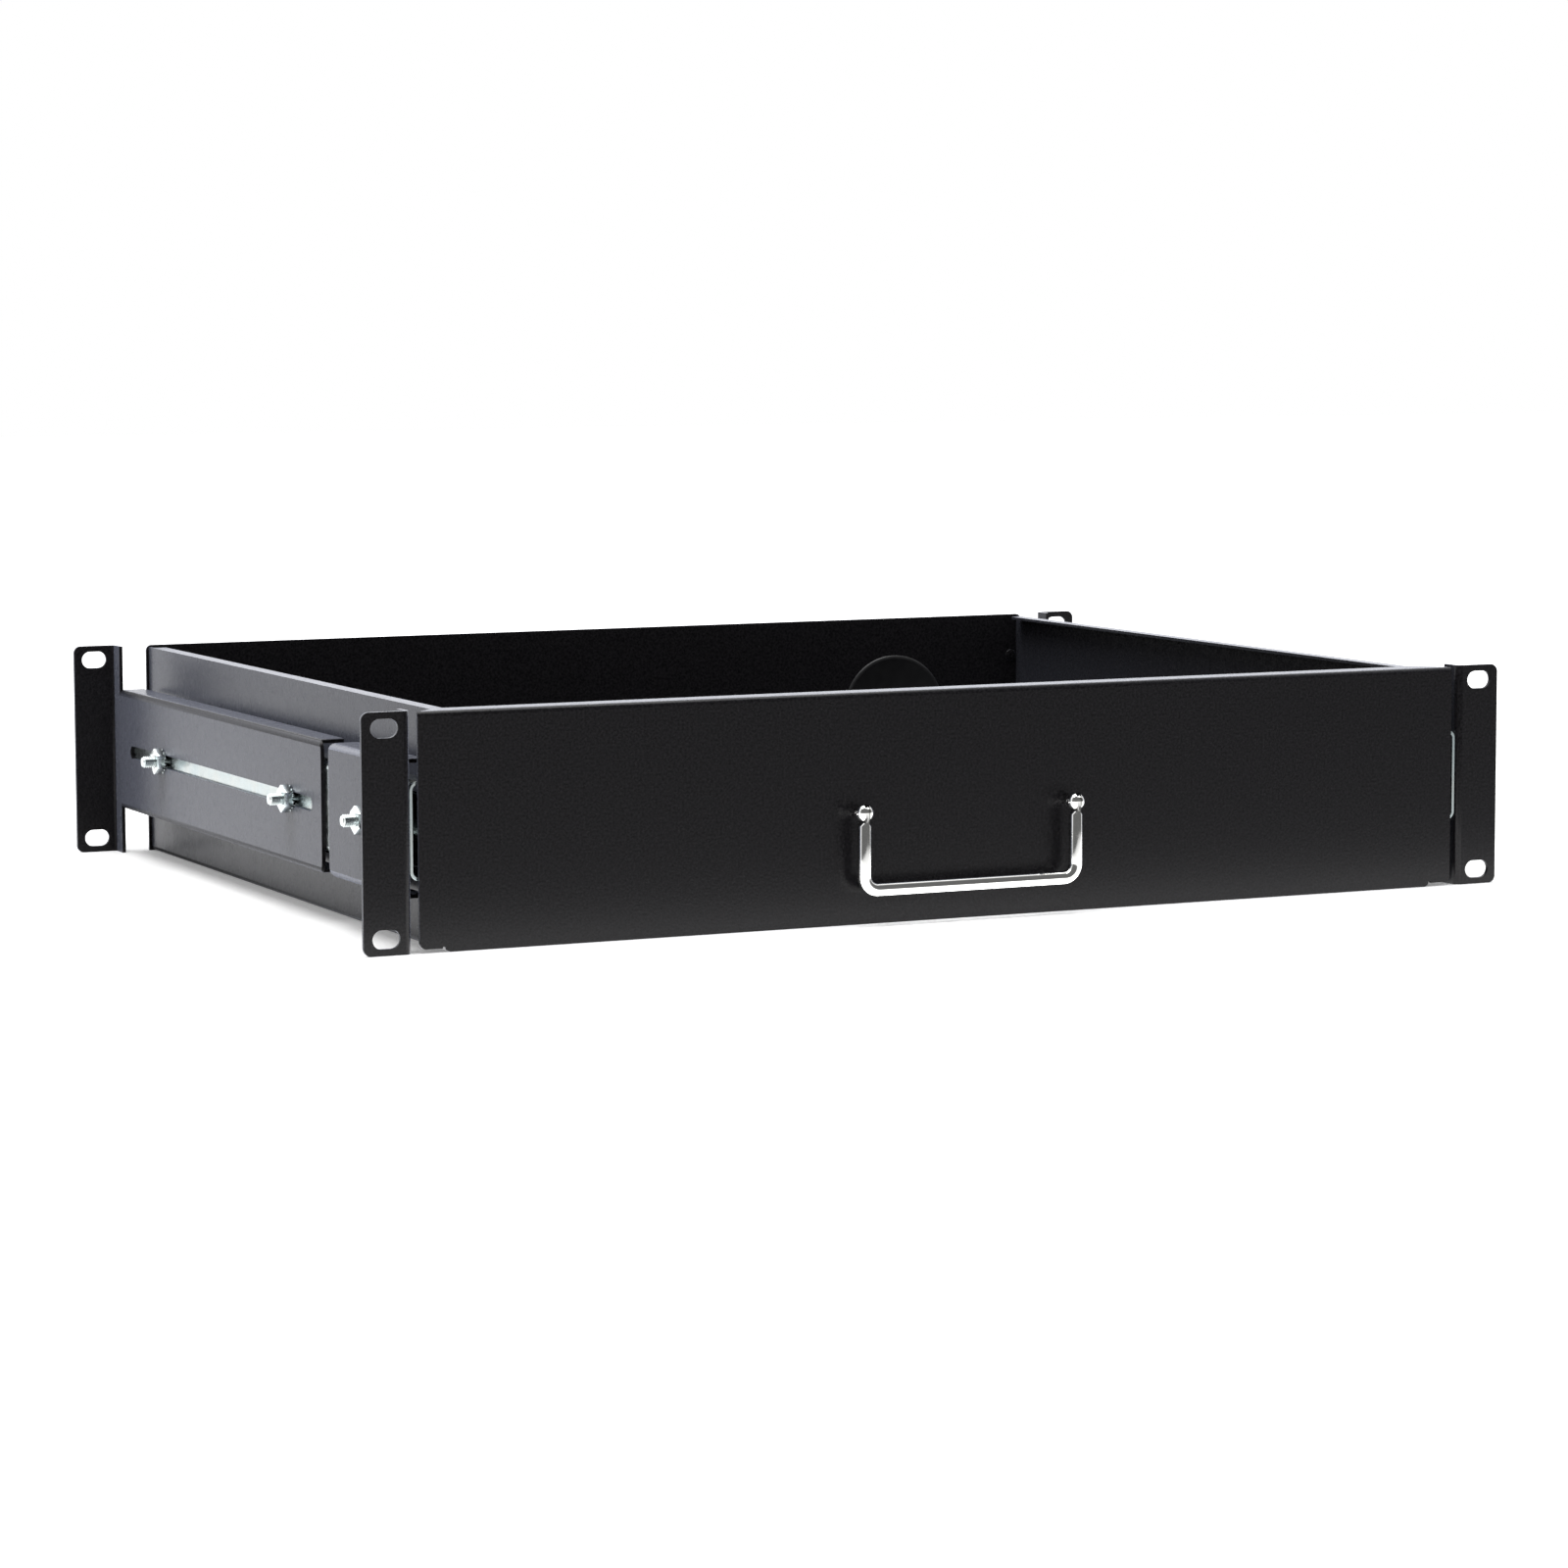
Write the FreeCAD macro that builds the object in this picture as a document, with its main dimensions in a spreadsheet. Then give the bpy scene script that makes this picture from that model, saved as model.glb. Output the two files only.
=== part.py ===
import FreeCAD, Part
import math
import os
from types import SimpleNamespace

import Sketcher

# Sliding drawer for a 19-inch rack, two rack units high.
# Frame: X to the right, Y towards the back, Z up, millimetres.  The origin is the centre of
# the four front rack slots, on the front face of the front ears.

doc = FreeCAD.newDocument("sliding_rack_drawer")

DRIVING_SIZES = [
    ("rack_width", 482.6, "across the ears of a 19-inch panel"),
    ("rack_height", 88.1, "two rack units less the usual gap"),
    ("hole_inset", 8.75, "rack slot centre to the end of its ear"),
    ("hole_margin", 5.95, "rack slot centre to the upper or lower edge of its ear"),
    ("rack_slot_length", 10.7, "rack slot, end to end"),
    ("rack_slot_height", 7.0, "rack slot, height"),
    ("rack_depth", 352.7, "front ear face to rear ear face"),
    ("ear_width", 18.7, "end of an ear to the inner face of its bracket"),
    ("bracket_sheet", 1.5, "bracket sheet thickness"),
    ("bracket_bend", 1.0, "inner bend radius of the brackets"),
    ("ear_strip", 10.0, "depth of the full-height strip behind an ear"),
    ("ear_corner", 3.0, "corner radius of the ears"),
    ("mid_line", 0.3, "height of the channel and slide centre line"),
    ("channel_height", 50.8, "bracket channel, outside height"),
    ("channel_flange", 10.5, "bracket channel, flange depth from the outer face"),
    ("flange_setback", 3.0, "flange end to the free end of a bracket"),
    ("arm_corner", 4.5, "corner radius at the free end of a bracket"),
    ("front_bracket_length", 83.3, "front bracket, ear face to free end"),
    ("bracket_gap", 8.4, "front bracket end to rear bracket end"),
    ("arm_slot_lead", 10.4, "rear bracket free end to the slot"),
    ("arm_slot_tail", 22.2, "rear bracket slot to the rear ear's face"),
    ("arm_slot_height", 5.5, "rear bracket slot, height"),
    ("front_bolt_start", 13.2, "first bracket screw behind the ear face"),
    ("front_bolt_pitch", 32.0, "between the two front bracket screws"),
    ("rear_bolt_start", 127.3, "first rear bracket screw behind the ear face"),
    ("rear_bolt_inset", 60.0, "second rear bracket screw to the slide's rear end"),
    ("screw_diameter", 4.83, "number 10 machine screw"),
    ("screw_hole", 5.2, "clearance hole for a bracket screw"),
    ("screw_head_diameter", 8.4, "low head of a bracket screw"),
    ("screw_head_height", 1.6, "low head of a bracket screw"),
    ("screw_tail", 4.9, "thread standing out of a nut"),
    ("nut_flats", 9.53, "bracket nut across flats"),
    ("nut_height", 3.2, "bracket nut"),
    ("washer_diameter", 10.4, "toothed lock washer"),
    ("washer_thickness", 0.6, "toothed lock washer"),
    ("slide_thickness", 12.7, "ball slide, bracket face to drawer wall"),
    ("slide_height", 36.0, "ball slide, outer member"),
    ("slide_length", 345.0, "ball slide, closed"),
    ("slide_sheet", 1.2, "slide member wall"),
    ("outer_round", 3.3, "corner radius of the outer member"),
    ("member_round", 1.2, "corner radius of the middle and inner members"),
    ("slide_front", 1.5, "slide front end behind the ear face"),
    ("slide_travel", 300.0, "drawer travel"),
    ("outer_flange_depth", 10.2, "outer member, web face to flange edge"),
    ("outer_lip", 1.2, "turned-in lip of the outer member"),
    ("middle_web", 3.4, "bracket face to middle member"),
    ("middle_edge", 10.9, "bracket face to the edge of the middle flanges"),
    ("inner_edge", 5.6, "bracket face to the edge of the inner flanges"),
    ("outer_ball", 4.76, "large ball diameter"),
    ("outer_ball_line", 6.2, "bracket face to the large balls' centres"),
    ("inner_ball", 3.97, "small ball diameter"),
    ("inner_ball_line", 8.0, "bracket face to the small balls' centres"),
    ("race_depth", 0.45, "depth of a rolled ball race"),
    ("race_clearance", 0.05, "ball to race, radial"),
    ("retainer_length", 146.0, "ball retainer strip"),
    ("retainer_start", 80.0, "retainer front end behind the ear face, closed"),
    ("retainer_sheet", 0.7, "ball retainer strip thickness"),
    ("retainer_margin", 0.5, "strip edge beyond the balls"),
    ("ball_pitch", 16.0, "between balls in a row"),
    ("bumper_depth", 4.2, "rubber stop at the rear of a slide"),
    ("stop_clearance", 0.3, "members to the rubber stop"),
    ("tray_sheet", 1.2, "drawer sheet thickness"),
    ("tray_bend", 0.8, "inner bend radius of the drawer"),
    ("tray_depth", 350.0, "front panel face to the back of the drawer"),
    ("tray_lift", 0.05, "drawer floor above the lower edge of the ears"),
    ("tray_headroom", 0.45, "drawer top below the upper edge of the ears"),
    ("side_drop", 0.5, "side walls below the top of the front panel"),
    ("back_headroom", 0.05, "back wall below the upper edge of the ears"),
    ("back_lap", 1.2, "back wall beyond the outside of a side wall"),
    ("back_corner", 2.5, "corner radius of the back wall"),
    ("panel_gap", 2.8, "front panel edge to bracket face"),
    ("panel_corner", 2.5, "lower corner radius of the front panel"),
    ("panel_raise", 1.4, "panel wings above the folded lower edge"),
    ("relief_width", 1.0, "bend relief beside the folded lower edge"),
    ("relief_height", 0.6, "bend relief above the wings' lower edge"),
    ("front_flange", 11.0, "top flange of the front panel"),
    ("side_flange", 6.0, "top flange of the side walls"),
    ("flange_gap", 2.0, "between the front and side flanges"),
    ("rear_gap", 7.0, "rear end of a side flange to the back"),
    ("rear_flap", 14.0, "corner flap behind the back wall"),
    ("rivet_inset", 3.0, "rivet centre from the side wall's inner face"),
    ("rivet_span", 50.0, "between the two rivets of a corner"),
    ("rivet_diameter", 3.2, "blind rivet body"),
    ("rivet_head", 5.4, "blind rivet head diameter"),
    ("rivet_dome", 1.0, "blind rivet head height"),
    ("rivet_tail", 4.3, "blind rivet tail diameter"),
    ("rivet_tail_height", 1.4, "blind rivet tail height"),
    ("plug_hole", 47.6, "cable hole in the back wall"),
    ("plug_inset", 63.7, "cable hole centre to the right wall's inner face"),
    ("plug_level", 1.5, "height of the cable hole's centre"),
    ("plug_rim", 1.7, "plug rim beyond its hole"),
    ("plug_cap", 0.9, "plug cap thickness"),
    ("plug_wall", 1.5, "plug skirt wall"),
    ("plug_skirt", 5.0, "plug skirt behind its rim"),
    ("wall_screw_start", 45.0, "first drawer screw behind the ear face"),
    ("wall_screw_pitch", 112.0, "between drawer screws"),
    ("wall_screw", 4.0, "drawer screw"),
    ("wall_screw_head", 7.6, "drawer screw head"),
    ("wall_screw_head_height", 2.0, "drawer screw head"),
    ("handle_width", 90.0, "between the handle legs"),
    ("handle_drop", 29.2, "handle pivot to the grip"),
    ("handle_rod", 5.2, "handle rod diameter"),
    ("handle_corner", 5.4, "handle corner, centre-line radius"),
    ("handle_stand", 7.8, "pivot in front of the panel"),
    ("handle_height", -0.8, "height of the pivot"),
    ("tongue_thickness", 1.8, "flattened end of a handle leg"),
    ("tongue_radius", 2.6, "rounded end of the tongue"),
    ("shoulder_drop", 5.0, "pivot to the shoulder of the leg"),
    ("post_diameter", 7.0, "forked head of a post, diameter and length"),
    ("post_reach", 3.5, "head of a post in front of the pivot"),
    ("post_round", 3.0, "rounding of the post's head"),
    ("post_neck", 4.5, "post between its flange and its head"),
    ("fork_depth", 3.2, "fork slot behind the pivot"),
    ("post_flange_diameter", 7.0, "post flange on the panel"),
    ("post_flange_thickness", 0.9, "post flange on the panel"),
    ("fork_clearance", 0.15, "tongue to fork, each side"),
    ("pin_diameter", 2.0, "handle pin"),
    ("pin_inset", 0.1, "handle pin short of the post's side"),
    ("pin_clearance", 0.04, "handle pin to tongue, radial"),
    ("stud_diameter", 4.0, "threaded end of a post"),
    ("stud_tail", 1.2, "stud beyond its nut"),
    ("stud_nut_flats", 7.0, "post nut across flats"),
    ("stud_nut_height", 3.2, "post nut"),
    ("stud_washer_diameter", 9.0, "post washer"),
    ("stud_washer_thickness", 0.8, "post washer"),
]


class Size:
    """A size that carries its number and the sheet expression that gives it."""

    def __init__(self, number, text):
        self.number = float(number)
        self.text = text

    def join(self, other, sign, result):
        return Size(result, f"({self.text} {sign} {as_size(other).text})")

    def __add__(self, other):
        return self.join(other, "+", self.number + as_size(other).number)

    def __sub__(self, other):
        return self.join(other, "-", self.number - as_size(other).number)

    def __mul__(self, other):
        return self.join(other, "*", self.number * as_size(other).number)

    def __truediv__(self, other):
        return self.join(other, "/", self.number / as_size(other).number)

    def __neg__(self):
        return self * -1


def as_size(value):
    """A plain number counts as a size with itself as its text."""
    return value if isinstance(value, Size) else Size(value, str(value))


def fill_sheet():
    """Writes the driving sizes to the sheet and returns them by name."""
    sheet = doc.addObject("Spreadsheet::Sheet", "Sizes")
    named = {}
    for row, (alias, value, meaning) in enumerate(DRIVING_SIZES, start=1):
        sheet.set(f"A{row}", meaning)
        sheet.set(f"B{row}", str(value))
        sheet.setAlias(f"B{row}", alias)
        named[alias] = Size(value, f"Sizes.{alias}")
    doc.recompute()
    return SimpleNamespace(**named)


d = fill_sheet()


# ---------------------------------------------------------------- building blocks

def bind(target, prop, size):
    """Ties one property of an object to the sheet."""
    target.setExpression(prop, as_size(size).text)


def place(target, x, y, z):
    for axis, size in zip("xyz", (x, y, z)):
        bind(target, f"Placement.Base.{axis}", size)


def block(name, x_range, y_range, z_range):
    """Box between pairs of low and high places."""
    solid = doc.addObject("Part::Box", name)
    ranges = (x_range, y_range, z_range)
    for prop, (low, high) in zip(("Length", "Width", "Height"), ranges):
        bind(solid, prop, as_size(high) - low)
    place(solid, *(low for low, high in ranges))
    return solid


TURN = {
    "+X": FreeCAD.Rotation(FreeCAD.Vector(0, 1, 0), 90),
    "-X": FreeCAD.Rotation(FreeCAD.Vector(0, 1, 0), -90),
    "+Y": FreeCAD.Rotation(FreeCAD.Vector(1, 0, 0), -90),
    "-Y": FreeCAD.Rotation(FreeCAD.Vector(1, 0, 0), 90),
    "+Z": FreeCAD.Rotation(),
}


def rod(name, direction, start, length, radius):
    """Round bar from a start point along an axis."""
    solid = doc.addObject("Part::Cylinder", name)
    bind(solid, "Radius", radius)
    bind(solid, "Height", length)
    solid.Placement = FreeCAD.Placement(FreeCAD.Vector(), TURN[direction])
    place(solid, *start)
    return solid


def hexagon(name, direction, start, length, flats):
    """Hexagonal bar from a start point along an axis."""
    solid = doc.addObject("Part::Prism", name)
    solid.Polygon = 6
    bind(solid, "Circumradius", as_size(flats) / math.sqrt(3))
    bind(solid, "Height", length)
    solid.Placement = FreeCAD.Placement(FreeCAD.Vector(), TURN[direction])
    place(solid, *start)
    return solid


def fuse(name, *solids):
    joined = doc.addObject("Part::MultiFuse", name)
    joined.Shapes = list(solids)
    joined.Refine = True
    return joined


def cut(name, base, *tools):
    tool = tools[0] if len(tools) == 1 else fuse(f"{name}_tools", *tools)
    result = doc.addObject("Part::Cut", name)
    result.Base = base
    result.Tool = tool
    result.Refine = True
    return result


def group(name, solids):
    """Identical pieces kept as separate solids of one node."""
    compound = doc.addObject("Part::Compound", name)
    compound.Links = list(solids)
    return compound


def mirror(name, source):
    """The right-hand twin of a left-hand piece."""
    twin = doc.addObject("Part::Mirroring", name)
    twin.Source = source
    twin.Normal = FreeCAD.Vector(1, 0, 0)
    twin.Base = FreeCAD.Vector(0, 0, 0)
    return twin


def mirrored_pair(left_piece):
    stem = left_piece.Name[: -len("left")]
    return [left_piece, mirror(stem + "right", left_piece)]


def edges_along(shape, direction, *places):
    """Numbers of the straight edges along an axis that pass through the given places.

    A place is a dictionary of coordinates, such as {"x": 3.0, "z": 1.0}.
    """
    axis = "xyz".index(direction)
    found = []
    for number, edge in enumerate(shape.Edges, start=1):
        ends = [vertex.Point for vertex in edge.Vertexes]
        if len(ends) != 2 or edge.Curve.TypeId != "Part::GeomLine":
            continue
        along = ends[1] - ends[0]
        if abs(abs(along[axis]) - along.Length) > 1e-6:
            continue
        for spot in places:
            if all(abs(getattr(ends[0], key) - as_size(at).number) < 1e-4 for key, at in spot.items()):
                found.append(number)
                break
    return found


def round_edges(name, base, rounds):
    """Part fillet: rounds holds (radius, edge numbers) pairs found on the base."""
    doc.recompute()
    fillet = doc.addObject("Part::Fillet", name)
    fillet.Base = base
    fillet.Edges = [
        (number, radius.number, radius.number) for radius, numbers in rounds for number in numbers
    ]
    return fillet


def round_edge(cylinder, face):
    """Number of the round edge of a bar along Y that lies at the given Y."""
    doc.recompute()
    for number, edge in enumerate(cylinder.Shape.Edges, start=1):
        if edge.Curve.TypeId == "Part::GeomCircle" and abs(edge.Curve.Center.y - face.number) < 1e-6:
            return number
    raise ValueError("no round edge at that place")


# ---------------------------------------------------------------- sketched bodies

def new_body(name):
    return doc.addObject("PartDesign::Body", name)


def sketch_on(body, role, offset):
    """Sketch on one of the body's origin planes, moved along its normal."""
    sketch = body.newObject("Sketcher::SketchObject", f"{body.Name}_sketch")
    plane = next(item for item in body.Origin.OriginFeatures if item.Role == role)
    sketch.AttachmentSupport = (plane, [""])
    sketch.MapMode = "FlatFace"
    bind(sketch, "AttachmentOffset.Base.z", offset)
    return sketch


def pin_point(sketch, geometry, point, x, y):
    """Ties one point of the sketch to a pair of sheet sizes."""
    for kind, size in (("DistanceX", as_size(x)), ("DistanceY", as_size(y))):
        tie = Sketcher.Constraint(kind, -1, 1, geometry, point, size.number)
        bind(sketch, f"Constraints[{sketch.addConstraint(tie)}]", size)


def polygon(sketch, corners):
    """Closed outline through pairs of sizes."""
    points = [FreeCAD.Vector(as_size(x).number, as_size(y).number, 0) for x, y in corners]
    first = sketch.GeometryCount
    count = len(points)
    for index in range(count):
        sketch.addGeometry(Part.LineSegment(points[index], points[(index + 1) % count]))
    for index in range(count):
        follower = first + (index + 1) % count
        sketch.addConstraint(Sketcher.Constraint("Coincident", first + index, 2, follower, 1))
    for index, (x, y) in enumerate(corners):
        pin_point(sketch, first + index, 1, x, y)


def circle(sketch, x, y, radius):
    """Circle with a sheet radius about a pair of sizes."""
    x, y, radius = as_size(x), as_size(y), as_size(radius)
    centre = FreeCAD.Vector(x.number, y.number, 0)
    ring = sketch.addGeometry(Part.Circle(centre, FreeCAD.Vector(0, 0, 1), radius.number))
    pin_point(sketch, ring, 3, x, y)
    tie = Sketcher.Constraint("Radius", ring, radius.number)
    bind(sketch, f"Constraints[{sketch.addConstraint(tie)}]", radius)


def obround(sketch, x, y, length, height):
    """Round-ended slot along the sketch's x axis."""
    x, y, radius = as_size(x), as_size(y), as_size(height) / 2
    reach = as_size(length) / 2 - radius
    up = FreeCAD.Vector(0, radius.number, 0)
    normal = FreeCAD.Vector(0, 0, 1)
    places = (x - reach, x + reach)
    centres = [FreeCAD.Vector(place_x.number, y.number, 0) for place_x in places]
    quarter = math.pi / 2
    left = sketch.addGeometry(
        Part.ArcOfCircle(Part.Circle(centres[0], normal, radius.number), quarter, 3 * quarter))
    right = sketch.addGeometry(
        Part.ArcOfCircle(Part.Circle(centres[1], normal, radius.number), -quarter, quarter))
    top = sketch.addGeometry(Part.LineSegment(centres[1] + up, centres[0] + up))
    bottom = sketch.addGeometry(Part.LineSegment(centres[0] - up, centres[1] - up))
    for pair in ((right, 2, top, 1), (top, 2, left, 1), (left, 2, bottom, 1), (bottom, 2, right, 1)):
        sketch.addConstraint(Sketcher.Constraint("Tangent", *pair))
    for arc, place_x in zip((left, right), places):
        pin_point(sketch, arc, 3, place_x, y)
        tie = Sketcher.Constraint("Radius", arc, radius.number)
        bind(sketch, f"Constraints[{sketch.addConstraint(tie)}]", radius)


def corner_cut(sketch, x, y, radius, turn_x, turn_y):
    """Outline of the waste that rounds the corner at x, y of a plate.

    turn_x and turn_y are +1 where the plate ends towards higher values and -1 otherwise.
    """
    x, y, radius = as_size(x), as_size(y), as_size(radius)
    centre = FreeCAD.Vector((x - radius * turn_x).number, (y - radius * turn_y).number, 0)
    tip = FreeCAD.Vector(x.number, y.number, 0)
    start = math.atan2(0, turn_x) if turn_x * turn_y > 0 else math.atan2(turn_y, 0)
    ring = Part.Circle(centre, FreeCAD.Vector(0, 0, 1), radius.number)
    arc = sketch.addGeometry(Part.ArcOfCircle(ring, start, start + math.pi / 2))
    ends = [sketch.getPoint(arc, 1), sketch.getPoint(arc, 2)]
    first = sketch.addGeometry(Part.LineSegment(ends[1], tip))
    second = sketch.addGeometry(Part.LineSegment(tip, ends[0]))
    sketch.addConstraint(Sketcher.Constraint("Tangent", arc, 2, first, 1))
    sketch.addConstraint(Sketcher.Constraint("Coincident", first, 2, second, 1))
    sketch.addConstraint(Sketcher.Constraint("Tangent", second, 2, arc, 1))
    pin_point(sketch, first, 2, x, y)
    pin_point(sketch, arc, 3, x - radius * turn_x, y - radius * turn_y)


def pad(body, sketch, length, backwards=False):
    feature = body.newObject("PartDesign::Pad", f"{body.Name}_pad")
    feature.Profile = sketch
    feature.Reversed = backwards
    bind(feature, "Length", length)
    sketch.Visibility = False
    return feature


def pocket(body, sketch):
    """Cuts the sketch right through the body, both ways."""
    feature = body.newObject("PartDesign::Pocket", f"{body.Name}_pocket")
    feature.Profile = sketch
    feature.Midplane = True
    feature.Type = "ThroughAll"
    return feature


def blind_pocket(body, sketch, depth, reverse=False):
    """Cuts the sketch to a depth against its normal, or along it when reversed."""
    feature = body.newObject("PartDesign::Pocket", f"{body.Name}_pocket")
    feature.Profile = sketch
    feature.Reversed = reverse
    bind(feature, "Length", depth)
    return feature


def body_fillet(body, radius, numbers):
    base = body.Tip
    feature = body.newObject("PartDesign::Fillet", f"{body.Name}_fillet")
    feature.Base = (base, [f"Edge{number}" for number in numbers])
    bind(feature, "Radius", radius)
    return feature


def round_bends(body, steps):
    """Fillets found by place: each step is (radius, direction, places)."""
    for radius, direction, spots in steps:
        doc.recompute()
        body_fillet(body, radius, edges_along(body.Shape, direction, *spots))


# ---------------------------------------------------------------- places worked out once

half_height = d.rack_height / 2
ear_outer = -(d.rack_width / 2)
bracket_inner = ear_outer + d.ear_width
bracket_outer = bracket_inner - d.bracket_sheet
hole_across = ear_outer + d.hole_inset
hole_levels = (-half_height + d.hole_margin, half_height - d.hole_margin)
channel_top = d.mid_line + d.channel_height / 2
channel_bottom = d.mid_line - d.channel_height / 2
arm_front = d.front_bracket_length + d.bracket_gap
arm_slot_front = arm_front + d.arm_slot_lead
arm_slot_rear = d.rack_depth - d.arm_slot_tail
rear_corner = d.rack_depth + d.bracket_sheet
front_bolts = [d.front_bolt_start, d.front_bolt_start + d.front_bolt_pitch]

slide_rear = d.slide_front + d.slide_length
rear_bolts = [d.rear_bolt_start, slide_rear - d.rear_bolt_inset]
member_rear = slide_rear - d.bumper_depth - d.stop_clearance
wall_outer = bracket_inner + d.slide_thickness
wall_inner = wall_outer + d.tray_sheet
tray_bottom = -half_height + d.tray_lift
tray_top = half_height - d.tray_headroom
side_top = tray_top - d.side_drop
back_top = half_height - d.back_headroom
panel_edge = bracket_inner + d.panel_gap
back_outer = d.tray_depth - d.tray_sheet
back_inner = back_outer - d.tray_sheet

outer_race = d.outer_ball / 2 + d.race_clearance
inner_race = d.inner_ball / 2 + d.race_clearance
outer_flange_inner = d.slide_height / 2 - d.slide_sheet
outer_ball_rise = outer_flange_inner + d.race_depth - outer_race
middle_flange_outer = outer_ball_rise - outer_race + d.race_depth
middle_flange_inner = middle_flange_outer - d.slide_sheet
inner_ball_rise = middle_flange_inner + d.race_depth - inner_race
inner_flange_outer = inner_ball_rise - inner_race + d.race_depth

wall_screws = [d.wall_screw_start + d.wall_screw_pitch * index for index in range(3)]
rivet_across = wall_inner + d.rivet_inset
plug_across = -wall_inner - d.plug_inset
leg_x = -(d.handle_width / 2)
pivot_y = -d.handle_stand
pivot_z = d.handle_height


# ---------------------------------------------------------------- brackets

def bracket(name, corner, free_end, away, bolt_holes):
    """Left bracket: an ear, a full-height strip and a channel arm towards free_end.

    corner is the outside of the ear bend along Y, and away is +1 when the arm runs back
    from the ear and -1 when it runs forward.
    """
    body = new_body(name)
    step = corner + d.ear_strip * away
    inside = bracket_outer + d.channel_flange
    section = sketch_on(body, "XZ_Plane", -step)
    polygon(section, [
        (bracket_outer, channel_bottom), (inside, channel_bottom),
        (inside, channel_bottom + d.bracket_sheet), (bracket_inner, channel_bottom + d.bracket_sheet),
        (bracket_inner, channel_top - d.bracket_sheet), (inside, channel_top - d.bracket_sheet),
        (inside, channel_top), (bracket_outer, channel_top),
    ])
    pad(body, section, (free_end - step) * away, backwards=away > 0)
    outer_bend = d.bracket_bend + d.bracket_sheet
    levels = (channel_bottom, channel_top)
    round_bends(body, [
        (outer_bend, "y", [{"x": bracket_outer, "z": level} for level in levels]),
        (d.bracket_bend, "y", [{"x": bracket_inner, "z": channel_bottom + d.bracket_sheet},
                               {"x": bracket_inner, "z": channel_top - d.bracket_sheet}]),
    ])

    flange_ends = sketch_on(body, "XY_Plane", as_size(0))
    flange_end = free_end - d.flange_setback * away
    polygon(flange_ends, [
        (bracket_inner, flange_end), (inside, flange_end), (inside, free_end), (bracket_inner, free_end),
    ])
    pocket(body, flange_ends)

    side = sketch_on(body, "YZ_Plane", bracket_outer)
    polygon(side, [
        (corner, -half_height), (step, -half_height), (step, half_height), (corner, half_height),
    ])
    pad(body, side, d.bracket_sheet)
    ear = sketch_on(body, "XZ_Plane", -corner)
    polygon(ear, [
        (ear_outer, -half_height), (bracket_inner, -half_height),
        (bracket_inner, half_height), (ear_outer, half_height),
    ])
    pad(body, ear, d.bracket_sheet, backwards=away > 0)

    openings = sketch_on(body, "YZ_Plane", bracket_outer)
    for level, turn in ((channel_top, 1), (channel_bottom, -1)):
        corner_cut(openings, free_end, level, d.arm_corner, away, turn)
    bolt_holes(openings)
    pocket(body, openings)
    slots = sketch_on(body, "XZ_Plane", -corner)
    for level in hole_levels:
        obround(slots, hole_across, level, d.rack_slot_length, d.rack_slot_height)
    pocket(body, slots)
    round_bends(body, [
        (d.ear_corner, "y", [{"x": ear_outer, "z": half_height}, {"x": ear_outer, "z": -half_height}]),
        (outer_bend, "z", [{"x": bracket_inner, "y": corner}]),
        (d.bracket_bend, "z", [{"x": bracket_outer, "y": corner + d.bracket_sheet * away}]),
    ])
    return body


def build_front_bracket():
    def holes(sketch):
        for bolt in front_bolts:
            circle(sketch, bolt, d.mid_line, d.screw_hole / 2)

    return bracket("front_bracket_left", as_size(0), d.front_bracket_length, 1, holes)


def build_rear_bracket():
    def slot(sketch):
        middle = (arm_slot_front + arm_slot_rear) / 2
        obround(sketch, middle, d.mid_line, arm_slot_rear - arm_slot_front, d.arm_slot_height)

    return bracket("rear_bracket_left", rear_corner, arm_front, -1, slot)


# ---------------------------------------------------------------- ball slides

def slide_member(name, outline, races, rear):
    """Slide member padded along Y from its section, with its ball races."""
    body = new_body(name)
    section = sketch_on(body, "XZ_Plane", -d.slide_front)
    polygon(section, outline)
    pad(body, section, rear - d.slide_front, backwards=True)
    grooves = sketch_on(body, "XZ_Plane", -d.slide_front)
    for line, rise, radius in races:
        for level in (d.mid_line + rise, d.mid_line - rise):
            circle(grooves, bracket_inner + line, level, radius)
    pocket(body, grooves)
    return body


def web_holes(body, places, radius):
    """Round holes through the web of a slide member."""
    holes = sketch_on(body, "YZ_Plane", bracket_inner)
    for place_y in places:
        circle(holes, place_y, d.mid_line, radius)
    pocket(body, holes)


def mirrored_outline(upper_half):
    """Adds the lower half of a section that is even about the slide's centre line."""
    outline = [(bracket_inner + across, d.mid_line + rise) for across, rise in upper_half]
    outline += [(bracket_inner + across, d.mid_line - rise) for across, rise in reversed(upper_half)]
    return outline


def levels_at(across, rise):
    """Upper and lower places of an edge that is even about the slide's centre line."""
    return [{"x": across, "z": d.mid_line + rise}, {"x": across, "z": d.mid_line - rise}]


def build_outer_member():
    top = d.slide_height / 2
    edge = d.outer_flange_depth
    lip = outer_flange_inner - d.outer_lip
    upper = [
        (d.slide_sheet, outer_flange_inner), (edge - d.slide_sheet, outer_flange_inner),
        (edge - d.slide_sheet, lip), (edge, lip), (edge, top), (as_size(0), top),
    ]
    races = [(d.outer_ball_line, outer_ball_rise, outer_race)]
    body = slide_member("slide_outer_left", mirrored_outline(upper), races, slide_rear)
    web_holes(body, front_bolts + rear_bolts, d.screw_hole / 2)
    round_bends(body, [
        (d.outer_round, "y", levels_at(bracket_inner, top)),
        (d.outer_round - d.slide_sheet, "y", levels_at(bracket_inner + d.slide_sheet, outer_flange_inner)),
    ])
    return body


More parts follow.
